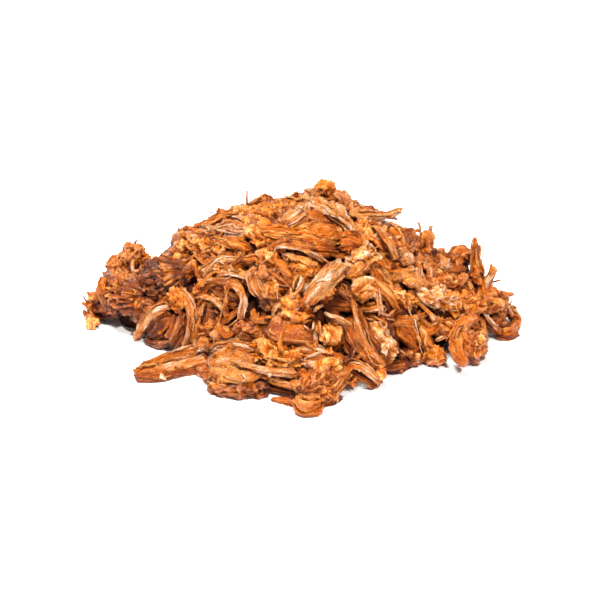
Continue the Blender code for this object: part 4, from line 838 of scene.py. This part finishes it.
def lay_strands(pile, surface, random, count, lengths, thick, lift):
    """Strands along a shred: each follows its surface at a slightly changing angle, and one of its ends
    may lift off by the cube of the distance to the strand's other end."""
    if count < 1:
        return
    t = np.linspace(0, 1, 10)
    length = surface["length"]
    size = np.minimum(random.uniform(*lengths, count), 0.95 * length)
    middle = random.uniform(0, 1, count) * (length - 0.5 * size) + 0.25 * size
    place = middle[:, None] + size[:, None] * (t - 0.5)
    turn = random.uniform(-0.35, math.pi + 0.35, count)[:, None]
    turn = turn + random.normal(0, 0.5, count)[:, None] * (t - 0.5)
    bend = random.normal(0, 1, (count, 3))
    turn = turn + 0.16 * bend[:, :1] * np.sin(t * 5 + bend[:, 1:2])
    over = np.maximum(0, place - length) + np.maximum(0, -place)
    centre, normal = on_surface(surface, place, turn)
    radius = random.uniform(*thick, count) / 2
    end = np.where(random.uniform(0, 1, count)[:, None] < 0.5, t, 1 - t)
    rise = random.uniform(0, 1, count)[:, None] ** 3 * lift * end**3
    tangent = unit(np.gradient(centre, axis=1))
    away = np.where(place > length / 2, 1, -1)[..., None] * tangent
    centre = centre + normal * (0.35 * radius[:, None] + rise)[..., None] + away * over[..., None] * 0.8
    light = 0.45 + 0.25 * random.uniform(-1, 1, count)
    tubes(pile, centre, normal, radius, surface["tone"], light, surface["seed"])


def lay_short(pile, surface, random, count, lengths, thick):
    """Short bits of fibre lying any way on a chunk, bent and a little raised in the middle."""
    if count < 1:
        return
    t = np.linspace(-0.5, 0.5, 6)
    length, around = surface["length"], surface["width"] * 1.3
    place = random.uniform(0.05, 0.95, count) * length
    turn = random.uniform(-0.5, math.pi + 0.5, count)
    heading = random.uniform(0, 2 * math.pi, count)[:, None] + random.normal(0, 0.7, count)[:, None] * t
    size = random.uniform(*lengths, count)[:, None]
    place = np.clip(place[:, None] + size * t * np.cos(heading), 0, length)
    turn = turn[:, None] + size * t * np.sin(heading) * 2 / around
    centre, normal = on_surface(surface, place, turn)
    radius = random.uniform(*thick, count) / 2
    rise = 2.2 * random.uniform(0, 1, count)[:, None] ** 2 * (t + 0.5) ** 2
    centre = centre + normal * (0.5 * radius[:, None] + rise)[..., None]
    light = 0.45 + 0.3 * random.uniform(-1, 1, count)
    tubes(pile, centre, normal, radius, surface["tone"], light, surface["seed"])


def grains(pile, centre, normal, radius, tone, relief, random, seed):
    """Crumbs: three rings of five points and two ends, squeezed along one direction, each point moved in
    or out by up to a third."""
    count = len(centre)
    turn = np.arange(5) / 5 * 2 * math.pi
    tilt = np.array([-0.9, 0.0, 0.9])
    axis = unit(normal + 0.8 * random.normal(0, 1, (count, 3)))
    side = unit_cross(axis, random.normal(0, 1, (count, 3)))
    up = np.cross(axis, side)
    level = np.sin(tilt)[None, :, None, None]
    ring = np.cos(tilt)[:, None] * np.cos(turn), np.cos(tilt)[:, None] * np.sin(turn)
    shape = random.uniform((0.6, 0.5, 0.7), (1.2, 1.0, 2.2), (count, 3))[:, :, None, None, None]
    points = side[:, None, None] * ring[0][None, ..., None] * shape[:, 0]
    points = points - up[:, None, None] * ring[1][None, ..., None] * shape[:, 1]
    points = points + axis[:, None, None] * level * shape[:, 2]
    points = points * random.uniform(0.68, 1.3, (count, 3, 5, 1)) * radius[:, None, None, None]
    points = points + centre[:, None, None]
    shine = relief[:, None, None] + random.uniform(-0.16, 0.16, (count, 3, 5))
    colour = meat_colour(points, shine, tone, seed)
    flat_u, flat_v = (tilt[:, None] * radius[:, None, None]) * MM, turn * radius[:, None, None] * MM
    uv = np.stack(np.broadcast_arrays(flat_u, flat_v), axis=-1)
    pile.add(points, uv, colour)


def lay_grains(pile, surface, random, count, sizes):
    """Crumbs half sunk in a shred's surface."""
    if count < 1:
        return
    place = random.uniform(0.0, 1.0, count) * surface["length"]
    turn = random.uniform(-0.6, math.pi + 0.6, count)
    centre, normal = on_surface(surface, place, turn)
    radius = sizes[0] / 2 * (sizes[1] / sizes[0]) ** (random.uniform(0, 1, count) ** 1.6)
    centre = centre + normal * (radius * random.uniform(-0.3, 0.4, count))[:, None]
    light = 0.4 + 0.3 * random.uniform(-1, 1, count)
    grains(pile, centre, normal, radius, surface["tone"], light, random, surface["seed"])


# Materials


def add_node(tree, kind, values=(), sources=(), **settings):
    """A shader node: its settings, then pairs of socket and value, then pairs of socket and source."""
    node = tree.nodes.new(f"ShaderNode{kind}")
    for name, value in settings.items():
        setattr(node, name, value)
    for socket, value in values:
        node.inputs[socket].default_value = value
    for socket, source in sources:
        tree.links.new(source, node.inputs[socket])
    return node


def meat_material(name, settings, rough, wet_coat, bump, crest, scale):
    """Moist cooked meat: the colour kept on each point, multiplied between a dark and a light value by
    streaks along the fibres and by grain, the dark value painting shade in the lines and the light value a
    painted highlight on the crests, with bumps of the same, uneven roughness and a thin wet coat."""
    material = bpy.data.materials.new(name)
    material.use_nodes = True
    tree = material.node_tree
    shader = tree.nodes["Principled BSDF"]
    shader.inputs["Subsurface Weight"].default_value = settings.softness
    shader.inputs["Subsurface Radius"].default_value = SOAK_SHARES
    shader.inputs["Subsurface Scale"].default_value = SOAK_DEPTH
    shader.inputs["Specular IOR Level"].default_value = SPECULAR
    shader.inputs["Coat Weight"].default_value = settings.wetness * wet_coat
    shader.inputs["Coat Roughness"].default_value = COAT_ROUGHNESS
    shader.inputs["Coat IOR"].default_value = COAT_IOR
    colour = add_node(tree, "Attribute", attribute_name="meat")
    place = add_node(tree, "UVMap", uv_map="fibre")
    spot = add_node(tree, "TexCoord").outputs["Object"]
    stretch = add_node(tree, "Mapping", [("Scale", scale)], [("Vector", place.outputs["UV"])])
    lines = []
    for vector, size, (share, noise_rough) in (
        (stretch.outputs["Vector"], 1, STREAKS),
        (spot, GRAIN_SCALE, GRAINS),
    ):
        values = [("Scale", size), ("Detail", 3), ("Roughness", noise_rough)]
        pattern = add_node(tree, "TexNoise", values, [("Vector", vector)])
        away = add_node(tree, "Math", [(1, 0.5)], [(0, pattern.outputs["Fac"])], operation="SUBTRACT")
        distance = add_node(tree, "Math", sources=[(0, away.outputs["Value"])], operation="ABSOLUTE")
        values = [("From Max", LINE_WIDTH), ("To Min", share * crest), ("To Max", share * (1 - crest))]
        line = add_node(tree, "MapRange", values, [("Value", distance.outputs["Value"])])
        lines.append(line.outputs["Result"])
    both = add_node(tree, "Math", sources=enumerate(lines), operation="ADD").outputs["Value"]
    middle, reach = crest + 0.42 * (1 - 2 * crest), 0.36 * abs(1 - 2 * crest)
    values = [("From Min", middle - reach), ("From Max", middle + reach)]
    light = add_node(tree, "MapRange", values, [("Value", both)])
    values = [(1, [b - a for a, b in zip(GRAIN_SHADE, GRAIN_HIGHLIGHT)]), (2, GRAIN_SHADE)]
    shade = add_node(tree, "VectorMath", values, [(0, light.outputs["Result"])], operation="MULTIPLY_ADD")
    sources = [(0, colour.outputs["Color"]), (1, shade.outputs["Vector"])]
    mixed = add_node(tree, "VectorMath", sources=sources, operation="MULTIPLY")
    wet = add_node(tree, "TexNoise", [("Scale", WET_SCALE), ("Detail", 2)], [("Vector", spot)])
    values = [("From Min", 0.38), ("From Max", 0.62), ("To Min", rough - 0.16), ("To Max", rough + 0.2)]
    gloss = add_node(tree, "MapRange", values, [("Value", wet.outputs["Fac"])])
    relief = add_node(tree, "Bump", [("Strength", bump), ("Distance", BUMP_HEIGHT)], [("Height", both)])
    for source, socket in (
        (mixed.outputs["Vector"], "Base Color"),
        (gloss.outputs["Result"], "Roughness"),
        (relief.outputs["Normal"], "Normal"),
        (relief.outputs["Normal"], "Coat Normal"),
    ):
        tree.links.new(source, shader.inputs[socket])
    return material


def material_of(key):
    """The material of that name, made once."""
    made = bpy.data.materials.get(f"pork_{key}")
    if made:
        return made
    return meat_material(f"pork_{key}", bpy.context.scene.pork, *LOOKS[key])


# Pieces


def listed(kinds):
    """The listed shreds of these kinds, with their paths in millimetres and the directions out of them."""
    for number, (name, kind, tone, widths, lift, *pixels) in enumerate(SHREDS):
        if kind not in kinds:
            continue
        widest = float(np.max(widths))
        parts = np.linspace(0, math.pi, len(pixels))
        lifts = lift * (END_LIFT + (1 - END_LIFT) * np.sqrt(np.abs(np.sin(parts))))
        path, to_eye = seen_points(pixels, 0.5 * widest * KINDS[kind]["depth"], lifts)
        bed_out = bed_outward(path[:, 0], path[:, 1])
        yield number + 1, kind, tone, widths, path, unit(TO_EYE * to_eye + (1 - TO_EYE) * bed_out)


# The shreds laid so far, and the mean height of the listed ones once the first pass has given it.
MADE = []
LAID = []


def laid_height(x, y):
    """Mean height of the tops of the listed shreds round a place, which a coarse first pass gives."""
    if not LAID:
        LAID.append(None)
        shown_pile(tuple(KINDS), FIRST_PASS)
        top, _whose = heap_top()
        bed = bed_height(*(np.mgrid[-REACH:REACH, -REACH:REACH] + 0.5))
        LAID[0] = mean_round(np.maximum(top, np.maximum(bed, 0)), 3)
        MADE.clear()
    if LAID[0] is None:
        return np.maximum(bed_height(x, y), 0)
    return LAID[0][cells_of(x, y)]


def heap_top():
    """The highest point of everything laid so far in each cell of the ground, and which shred it is on."""
    points = np.vstack([surface["points"].reshape(-1, 3) for surface in MADE])
    owner = np.repeat(np.arange(len(MADE)), [surface["points"].size // 3 for surface in MADE])
    order = np.argsort(points[:, 2], kind="stable")
    size = 2 * REACH
    at = (points[order, :2] + REACH).astype(int).clip(0, size - 1)
    top, whose = np.zeros((size, size)), np.zeros((size, size), int)
    top[at[:, 0], at[:, 1]] = points[order, 2]
    whose[at[:, 0], at[:, 1]] = owner[order]
    return top, whose


def cells_of(x, y):
    """Row and column of the cells of the ground that places lie in."""
    return tuple((v + REACH).astype(int).clip(0, 2 * REACH - 1) for v in (x, y))


def mean_round(grid, size):
    """Mean over a square of cells, from running sums along each axis."""
    for axis in (0, 1):
        total = np.cumsum(np.concatenate([np.zeros_like(grid.take([0], axis)), grid], axis=axis), axis=axis)
        count = grid.shape[axis]
        low, high = np.maximum(np.arange(count) - size, 0), np.minimum(np.arange(count) + size + 1, count)
        spans = (high - low).reshape((-1, 1) if axis == 0 else (1, -1))
        grid = (total.take(high, axis) - total.take(low, axis)) / spans
    return grid


def shown_pile(kinds, spacing):
    """The listed shreds of these kinds, made with that mesh step."""
    pile = Pile()
    for number, kind, tone, widths, path, outward in listed(kinds):
        MADE.append(shred(pile, kind, tone, path, outward, widths, number, spacing))
    return pile


def in_field(field, out, cosine, sine):
    """The place at a share of the way out of an ellipse, in the direction of that cosine and sine."""
    x, y, wide, deep = field
    return x + wide * out * cosine, y + deep * out * sine


def mesh_step(context):
    """The mesh step of the shreds that show, in millimetres."""
    return context.scene.pork.spacing / MM


def small_area(surface):
    """A shred's area for small pieces, in 100 square millimetres, less on the unlisted shreds."""
    share = UNLISTED_SHARE if surface["seed"] > UNLISTED else 1
    return surface["length"] * surface["width"] / 100 * bpy.context.scene.pork.fullness * share


def scattered(pile, count, seed, reach, lengths, widths, kinds, tones, height, spacing, hidden_only):
    """Shreds laid over the bed at random, each on a gently bent path that follows the bed's height.

    The reach is in shares of the field's ellipse, and the height over the bed in millimetres. Hidden
    ones start behind a wavy line, which is nearer to the front at the ends.
    """
    random = np.random.default_rng(seed)
    lowest = BED_LOWEST_HIDDEN if hidden_only else BED_LOWEST
    t = np.linspace(-0.5, 0.5, 6)
    made = 0
    while made < count:
        turn, out = random.uniform(0, 2 * math.pi), math.sqrt(random.uniform(reach[0] ** 2, reach[1] ** 2))
        centre = np.array(in_field(FIELD, out, math.cos(turn), math.sin(turn)))
        line = HIDDEN_Y - HIDDEN_FALL * abs(centre[0]) + HIDDEN_WAVE * math.sin(centre[0])
        if hidden_only and centre[1] < line:
            continue
        length, width = random.uniform(*lengths), random.uniform(*widths)
        heading = random.uniform(0, math.pi) + random.uniform(-0.9, 0.9) * t
        step = np.stack([np.cos(heading), np.sin(heading)], axis=1) * t[:, None] * length
        flat = centre + step
        bed = bed_height(flat[:, 0], flat[:, 1])
        kind = kinds[int(random.integers(0, len(kinds)))]
        tone = tones[int(random.integers(0, len(tones)))]
        wide = width * (0.55 if kind in ("strip", "thread") else 1)
        lift = random.uniform(*height)
        if bed.min() < lowest:
            continue
        high = np.maximum(bed + lift, 0.4 * wide)
        path = np.column_stack([flat, high])
        above, _below = past_outline(path + np.array([0, 0, 0.5 * wide]))
        sunk = max(0.0, 0.5 * above)
        _above, below = past_outline(path - np.array([0, 0.5 * wide, 0.5 * wide]))
        if sunk > SINK_MOST or below > 0 or high.max() - sunk < 0.4 * wide:
            continue
        path[:, 2] = np.maximum(path[:, 2] - sunk, 0.4 * wide)
        outward = bed_outward(flat[:, 0], flat[:, 1])
        sizes = (0.75 * wide, wide, 0.8 * wide)
        number = UNLISTED + seed * 97 + made
        MADE.append(shred(pile, kind, tone, path, outward, sizes, number, spacing))
        made += 1


class PorkSettings(bpy.types.PropertyGroup):
    """Mesh steps, counts and finish of the heap"""

    spacing: FloatProperty(
        name="Mesh step",
        description="Distance between neighbouring points of the shreds that show",
        default=0.00062,
        min=0.0003,
        max=0.003,
        unit="LENGTH",
    )
    back_spacing: FloatProperty(
        name="Mesh step at the back",
        description="Distance between neighbouring points of the shreds behind and below",
        default=0.0015,
        min=0.0003,
        max=0.004,
        unit="LENGTH",
    )
    back_count: IntProperty(
        name="Back shreds", description="Shreds over the back and ends", default=140, min=0
    )
    under_count: IntProperty(
        name="Under shreds", description="Dark shreds under those that show", default=200, min=0
    )
    scrap_count: IntProperty(
        name="Scraps", description="Small torn bits in the gaps", default=190, min=0
    )
    wisp_count: IntProperty(
        name="Wisps", description="Loose hairs over the whole heap", default=14, min=0
    )
    fullness: FloatProperty(
        name="Fullness", description="Share of the small pieces that is laid", default=1, min=0
    )
    softness: FloatProperty(
        name="Softness", description="Share of light that soaks in", default=0.06, min=0, max=1
    )
    wetness: FloatProperty(
        name="Wetness", description="Share of the wet coats that is kept", default=1, min=0, max=1
    )
    floor_colour: FloatVectorProperty(
        name="Floor",
        description="Colour of the floor",
        default=(0.92, 0.87, 0.83),
        subtype="COLOR",
        min=0,
        max=1,
    )


class PORK_OT_stage(bpy.types.Operator):
    """Floor, soft light from above and the camera at the photograph's angle"""

    bl_idname = "pork.stage"
    bl_label = "Stage"

    def execute(self, context):
        scene = context.scene
        mesh = bpy.data.meshes.new("floor")
        corners = [(x * FLOOR_HALF, y * FLOOR_HALF, 0) for x, y in ((-1, -1), (1, -1), (1, 1), (-1, 1))]
        mesh.from_pydata(corners, [], [(0, 1, 2, 3)])
        floor = bpy.data.objects.new("floor", mesh)
        scene.collection.objects.link(floor)
        plain = bpy.data.materials.new("floor_white")
        plain.use_nodes = True
        shader = plain.node_tree.nodes["Principled BSDF"]
        shader.inputs["Base Color"].default_value = (*scene.pork.floor_colour, 1)
        shader.inputs["Roughness"].default_value = 0.9
        mesh.materials.append(plain)
        world = bpy.data.worlds.new("soft_white")
        scene.world = world
        world.use_nodes = True
        sky = world.node_tree.nodes["Background"]
        sky.inputs["Color"].default_value = (1, 1, 1, 1)
        sky.inputs["Strength"].default_value = WORLD_LIGHT
        for name, place, size, power in LAMPS:
            light = bpy.data.lights.new(name, "AREA")
            light.shape = "DISK"
            light.size = size
            light.energy = power
            lamp = bpy.data.objects.new(name, light)
            lamp.location = place
            lamp.rotation_euler = (-Vector(place)).to_track_quat("-Z", "Y").to_euler()
            scene.collection.objects.link(lamp)
        camera = bpy.data.objects.new("camera", bpy.data.cameras.new("camera"))
        camera.data.lens = VIEW_LENS
        camera.data.sensor_width = SENSOR
        camera.location = Vector((EYE - np.array(BOX_MIDDLE)) * MM)
        camera.rotation_euler = Vector(VIEW_FORWARD).to_track_quat("-Z", "Y").to_euler()
        scene.collection.objects.link(camera)
        scene.camera = camera
        scene.view_settings.view_transform = "Standard"
        return {"FINISHED"}


class PORK_OT_core(bpy.types.Operator):
    """The core: a dome a little under the bed, craggy by noise, closed flat on the ground, painted dark as
    the shade in the gaps it shows through
    """

    bl_idname = "pork.core"
    bl_label = "Core"

    def execute(self, context):
        rows, columns = CORE_GRID
        turn = np.arange(columns) / columns * 2 * math.pi
        centre = CORE_MIDDLE
        far = np.linspace(0, REACH, 4 * REACH + 1)
        x, y = centre[0] + far[:, None] * np.cos(turn), centre[1] + far[:, None] * np.sin(turn)
        edge = far[np.argmax(bed_height(x, y) < CORE_EDGE, axis=0)]
        out = np.sin(np.linspace(0.02, math.pi / 2, rows))[:, None]
        x, y = centre[0] + edge * out * np.cos(turn), centre[1] + edge * out * np.sin(turn)
        rough = noise(x / 5, y / 5, 0.5, 3) + 0.5 * noise(x / 2.2, y / 2.2, 0.5, 4)
        z = np.maximum(bed_height(x, y) - CORE_DEPTH + CORE_ROUGH * rough, 0)
        z[-1] = 0
        points = np.stack([x, y, z], axis=-1)
        uv = np.stack([x * MM, y * MM], axis=-1)
        # Painted shade: the char tone, times 0.6, gives the core the dark of the shaded gaps.
        colour = meat_colour(points, 0.3 + 0.3 * rough, "char", 2) * 0.6
        pile = Pile()
        pile.add(points[None], uv[None], colour[None])
        pile.write("pork_core", material_of("deep"))
        return {"FINISHED"}


class PORK_OT_under(bpy.types.Operator):
    """Shreds under those that show, seen in the gaps between them, dark from their brown and char tones and
    from painted shade
    """

    bl_idname = "pork.under"
    bl_label = "Under shreds"

    def execute(self, context):
        settings = context.scene.pork
        kinds, tones = ("muscle", "crumb", "crumb", "strip"), ("brown", "char", "orange", "brown")
        spacing = settings.back_spacing / MM * 1.2
        pile = Pile()
        scattered(
            pile, settings.under_count, UNDER_SEED, reach=(0.1, 1.05), lengths=(14, 30), widths=(4.5, 8),
            kinds=kinds, tones=tones, height=(-2.6, 0.0), spacing=spacing, hidden_only=False,
        )
        pile.write("pork_under", material_of("crust"))
        return {"FINISHED"}


class PORK_OT_chunks(bpy.types.Operator):
    """The crusty and crumbling chunks that show"""

    bl_idname = "pork.chunks"
    bl_label = "Chunks"

    def execute(self, context):
        shown_pile(("crumb", "bark"), mesh_step(context)).write("pork_chunks", material_of("crust"))
        return {"FINISHED"}


class PORK_OT_muscle(bpy.types.Operator):
    """The bundles of muscle fibre that show"""

    bl_idname = "pork.muscle"
    bl_label = "Muscle"

    def execute(self, context):
        shown_pile(("muscle", "rope"), mesh_step(context)).write("pork_muscle", material_of("fibre"))
        return {"FINISHED"}


class PORK_OT_strips(bpy.types.Operator):
    """The single strips, the torn leaves and the hairs that show"""

    bl_idname = "pork.strips"
    bl_label = "Strips"

    def execute(self, context):
        pile = shown_pile(("strip", "flake", "thread"), 0.9 * mesh_step(context))
        pile.write("pork_strips", material_of("fibre"))
        return {"FINISHED"}


class PORK_OT_smooth(bpy.types.Operator):
    """The smooth glazed pieces that show"""

    bl_idname = "pork.smooth"
    bl_label = "Glazed pieces"

    def execute(self, context):
        shown_pile(("smooth",), mesh_step(context)).write("pork_glazed", material_of("glaze"))
        return {"FINISHED"}


class PORK_OT_back(bpy.types.Operator):
    """Shreds and chunks over the back and the ends"""

    bl_idname = "pork.back"
    bl_label = "Back"

    def execute(self, context):
        settings = context.scene.pork
        kinds = ("muscle", "crumb", "muscle", "strip", "crumb")
        tones = ("tan", "orange", "brown", "tan", "pale")
        pile = Pile()
        scattered(
            pile, settings.back_count, BACK_SEED, reach=(0.2, 1.08), lengths=(18, 42), widths=(5, 11),
            kinds=kinds, tones=tones, height=(0.5, 3.5), spacing=settings.back_spacing / MM, hidden_only=True,
        )
        pile.write("pork_back", material_of("fibre"))
        return {"FINISHED"}


class PORK_OT_scraps(bpy.types.Operator):
    """Small torn bits lying in the hollows between the shreds, in the tone of what lies round them"""

    bl_idname = "pork.scraps"
    bl_label = "Scraps"

    def execute(self, context):
        random = np.random.default_rng(SCRAP_SEED)
        top, whose = heap_top()
        hollow = mean_round(top, 5) - top
        pile = Pile()
        made = 0
        t = np.linspace(-0.5, 0.5, 4)
        while made < context.scene.pork.scrap_count:
            turn, out = random.uniform(0, 2 * math.pi), math.sqrt(random.uniform(0, 1))
            x, y = in_field(SCRAP_FIELD, out, math.cos(turn), math.sin(turn))
            here = cells_of(np.array(x), np.array(y))
            if top[here] < 3 or hollow[here] < random.uniform(-0.5, 3.5):
                continue
            length, width = random.uniform(5, 13), random.uniform(1.6, 3.6)
            heading = random.uniform(0, 2 * math.pi) + random.normal(0, 0.9) * t
            flat = np.stack([x + length * t * np.cos(heading), y + length * t * np.sin(heading)], axis=1)
            high = top[cells_of(flat[:, 0], flat[:, 1])]
            high = 0.5 * high + 0.5 * high.mean() - 0.1 * width
            path = np.column_stack([flat, np.maximum(high, 0.4 * width)])
            if max(past_outline(path)) > -1:
                continue
            kind = ("muscle", "strip", "crumb", "flake", "strip")[int(random.integers(0, 5))]
            tone = MADE[whose[here]]["tone"]
            if random.uniform() < 0.3:
                tone = ("tan", "orange", "brown")[int(random.integers(0, 3))]
            outward = unit(bed_outward(flat[:, 0], flat[:, 1]) + 0.5 * random.normal(0, 1, 3))
            sizes = width * random.uniform(0.6, 1.1, 3)
            spacing = 1.35 * context.scene.pork.spacing / MM
            MADE.append(shred(pile, kind, tone, path, outward, sizes, SCRAPS_FROM + made, spacing))
            made += 1
        pile.write("pork_scraps", material_of("fibre"))
        return {"FINISHED"}


class PORK_OT_fibres(bpy.types.Operator):
    """Strands along the bundles, with some ends lifting off, and short bits of fibre on the chunks"""

    bl_idname = "pork.fibres"
    bl_label = "Fibres"

    def execute(self, context):
        random = np.random.default_rng(FIBRE_SEED)
        strands, bits = Pile(), Pile()
        for surface in MADE:
            form = KINDS[surface["kind"]]
            area = small_area(surface)
            count = int(round(area * form["strands"]))
            lay_strands(strands, surface, random, count, lengths=(4, 20), thick=(0.6, 1.8), lift=2.2)
            count = int(round(area * form["bits"]))
            lay_short(bits, surface, random, count, lengths=(2.0, 6.0), thick=(0.5, 1.1))
        strands.write("pork_fibres", material_of("fibre"))
        bits.write("pork_bits", material_of("fibre"))
        return {"FINISHED"}


class PORK_OT_grains(bpy.types.Operator):
    """Crumbs on the chunks, and a few on everything else"""

    bl_idname = "pork.grains"
    bl_label = "Crumbs"

    def execute(self, context):
        random = np.random.default_rng(CRUMB_SEED)
        pile = Pile()
        for surface in MADE:
            count = int(round(small_area(surface) * KINDS[surface["kind"]]["grains"]))
            lay_grains(pile, surface, random, count, sizes=(0.7, 1.9))
        pile.write("pork_crumbs", material_of("crust"), smooth=False)
        return {"FINISHED"}


class PORK_OT_wisps(bpy.types.Operator):
    """Loose hairs lying over everything: each follows the highest points under it, averaged along it"""

    bl_idname = "pork.wisps"
    bl_label = "Wisps"

    def execute(self, context):
        random = np.random.default_rng(WISP_SEED)
        top, _whose = heap_top()
        count = context.scene.pork.wisp_count
        t = np.linspace(-0.5, 0.5, 12)
        turn, out = random.uniform(0, 2 * math.pi, count), np.sqrt(random.uniform(0, 0.9, count))
        heading = random.uniform(0, 2 * math.pi, count)[:, None] + random.normal(0, 1.1, count)[:, None] * t
        length = random.uniform(4, 14, count)[:, None]
        x, y = in_field(WISP_FIELD, out, np.cos(turn), np.sin(turn))
        x = x[:, None] + length * t * np.cos(heading)
        y = y[:, None] + length * t * np.sin(heading)
        high = top[cells_of(x, y)]
        for _ in range(2):
            padded = np.pad(high, ((0, 0), (1, 1)), mode="edge")
            high = np.maximum(0.75 * high, (padded[:, :-2] + padded[:, 1:-1] + padded[:, 2:]) / 3)
        keep = high.min(axis=1) > 2
        centre = np.stack([x, y, high + 0.2], axis=-1)[keep]
        radius = random.uniform(0.25, 0.45, count)[keep]
        light = (0.6 + 0.3 * random.uniform(-1, 1, count))[keep]
        up = np.broadcast_to(np.array([0, 0, 1.0]), centre.shape)
        pile = Pile()
        tubes(pile, centre, up, radius, tone="tan", relief=light, seed=77)
        pile.write("pork_wisps", material_of("fibre"))
        return {"FINISHED"}


class PORK_PT_panel(bpy.types.Panel):
    """Sizes and steps of the heap"""

    bl_idname = "PORK_PT_panel"
    bl_label = "Pulled Pork"
    bl_space_type = "VIEW_3D"
    bl_region_type = "UI"
    bl_category = "Pork"

    def draw(self, context):
        for key in PorkSettings.__annotations__:
            self.layout.prop(context.scene.pork, key)
        for step in STEPS:
            self.layout.operator(step.bl_idname)


STEPS = (
    PORK_OT_stage,
    PORK_OT_core,
    PORK_OT_under,
    PORK_OT_chunks,
    PORK_OT_muscle,
    PORK_OT_strips,
    PORK_OT_smooth,
    PORK_OT_back,
    PORK_OT_scraps,
    PORK_OT_fibres,
    PORK_OT_grains,
    PORK_OT_wisps,
)
CLASSES = (PorkSettings, *STEPS, PORK_PT_panel)


def register():
    for one in CLASSES:
        bpy.utils.register_class(one)
    bpy.types.Scene.pork = PointerProperty(type=PorkSettings)


def unregister():
    del bpy.types.Scene.pork
    for one in reversed(CLASSES):
        bpy.utils.unregister_class(one)


def main():
    """Registers the add-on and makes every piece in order."""
    register()
    for step in STEPS:
        group, name = step.bl_idname.split(".")
        getattr(getattr(bpy.ops, group), name)()


if __name__ == "__main__":
    main()
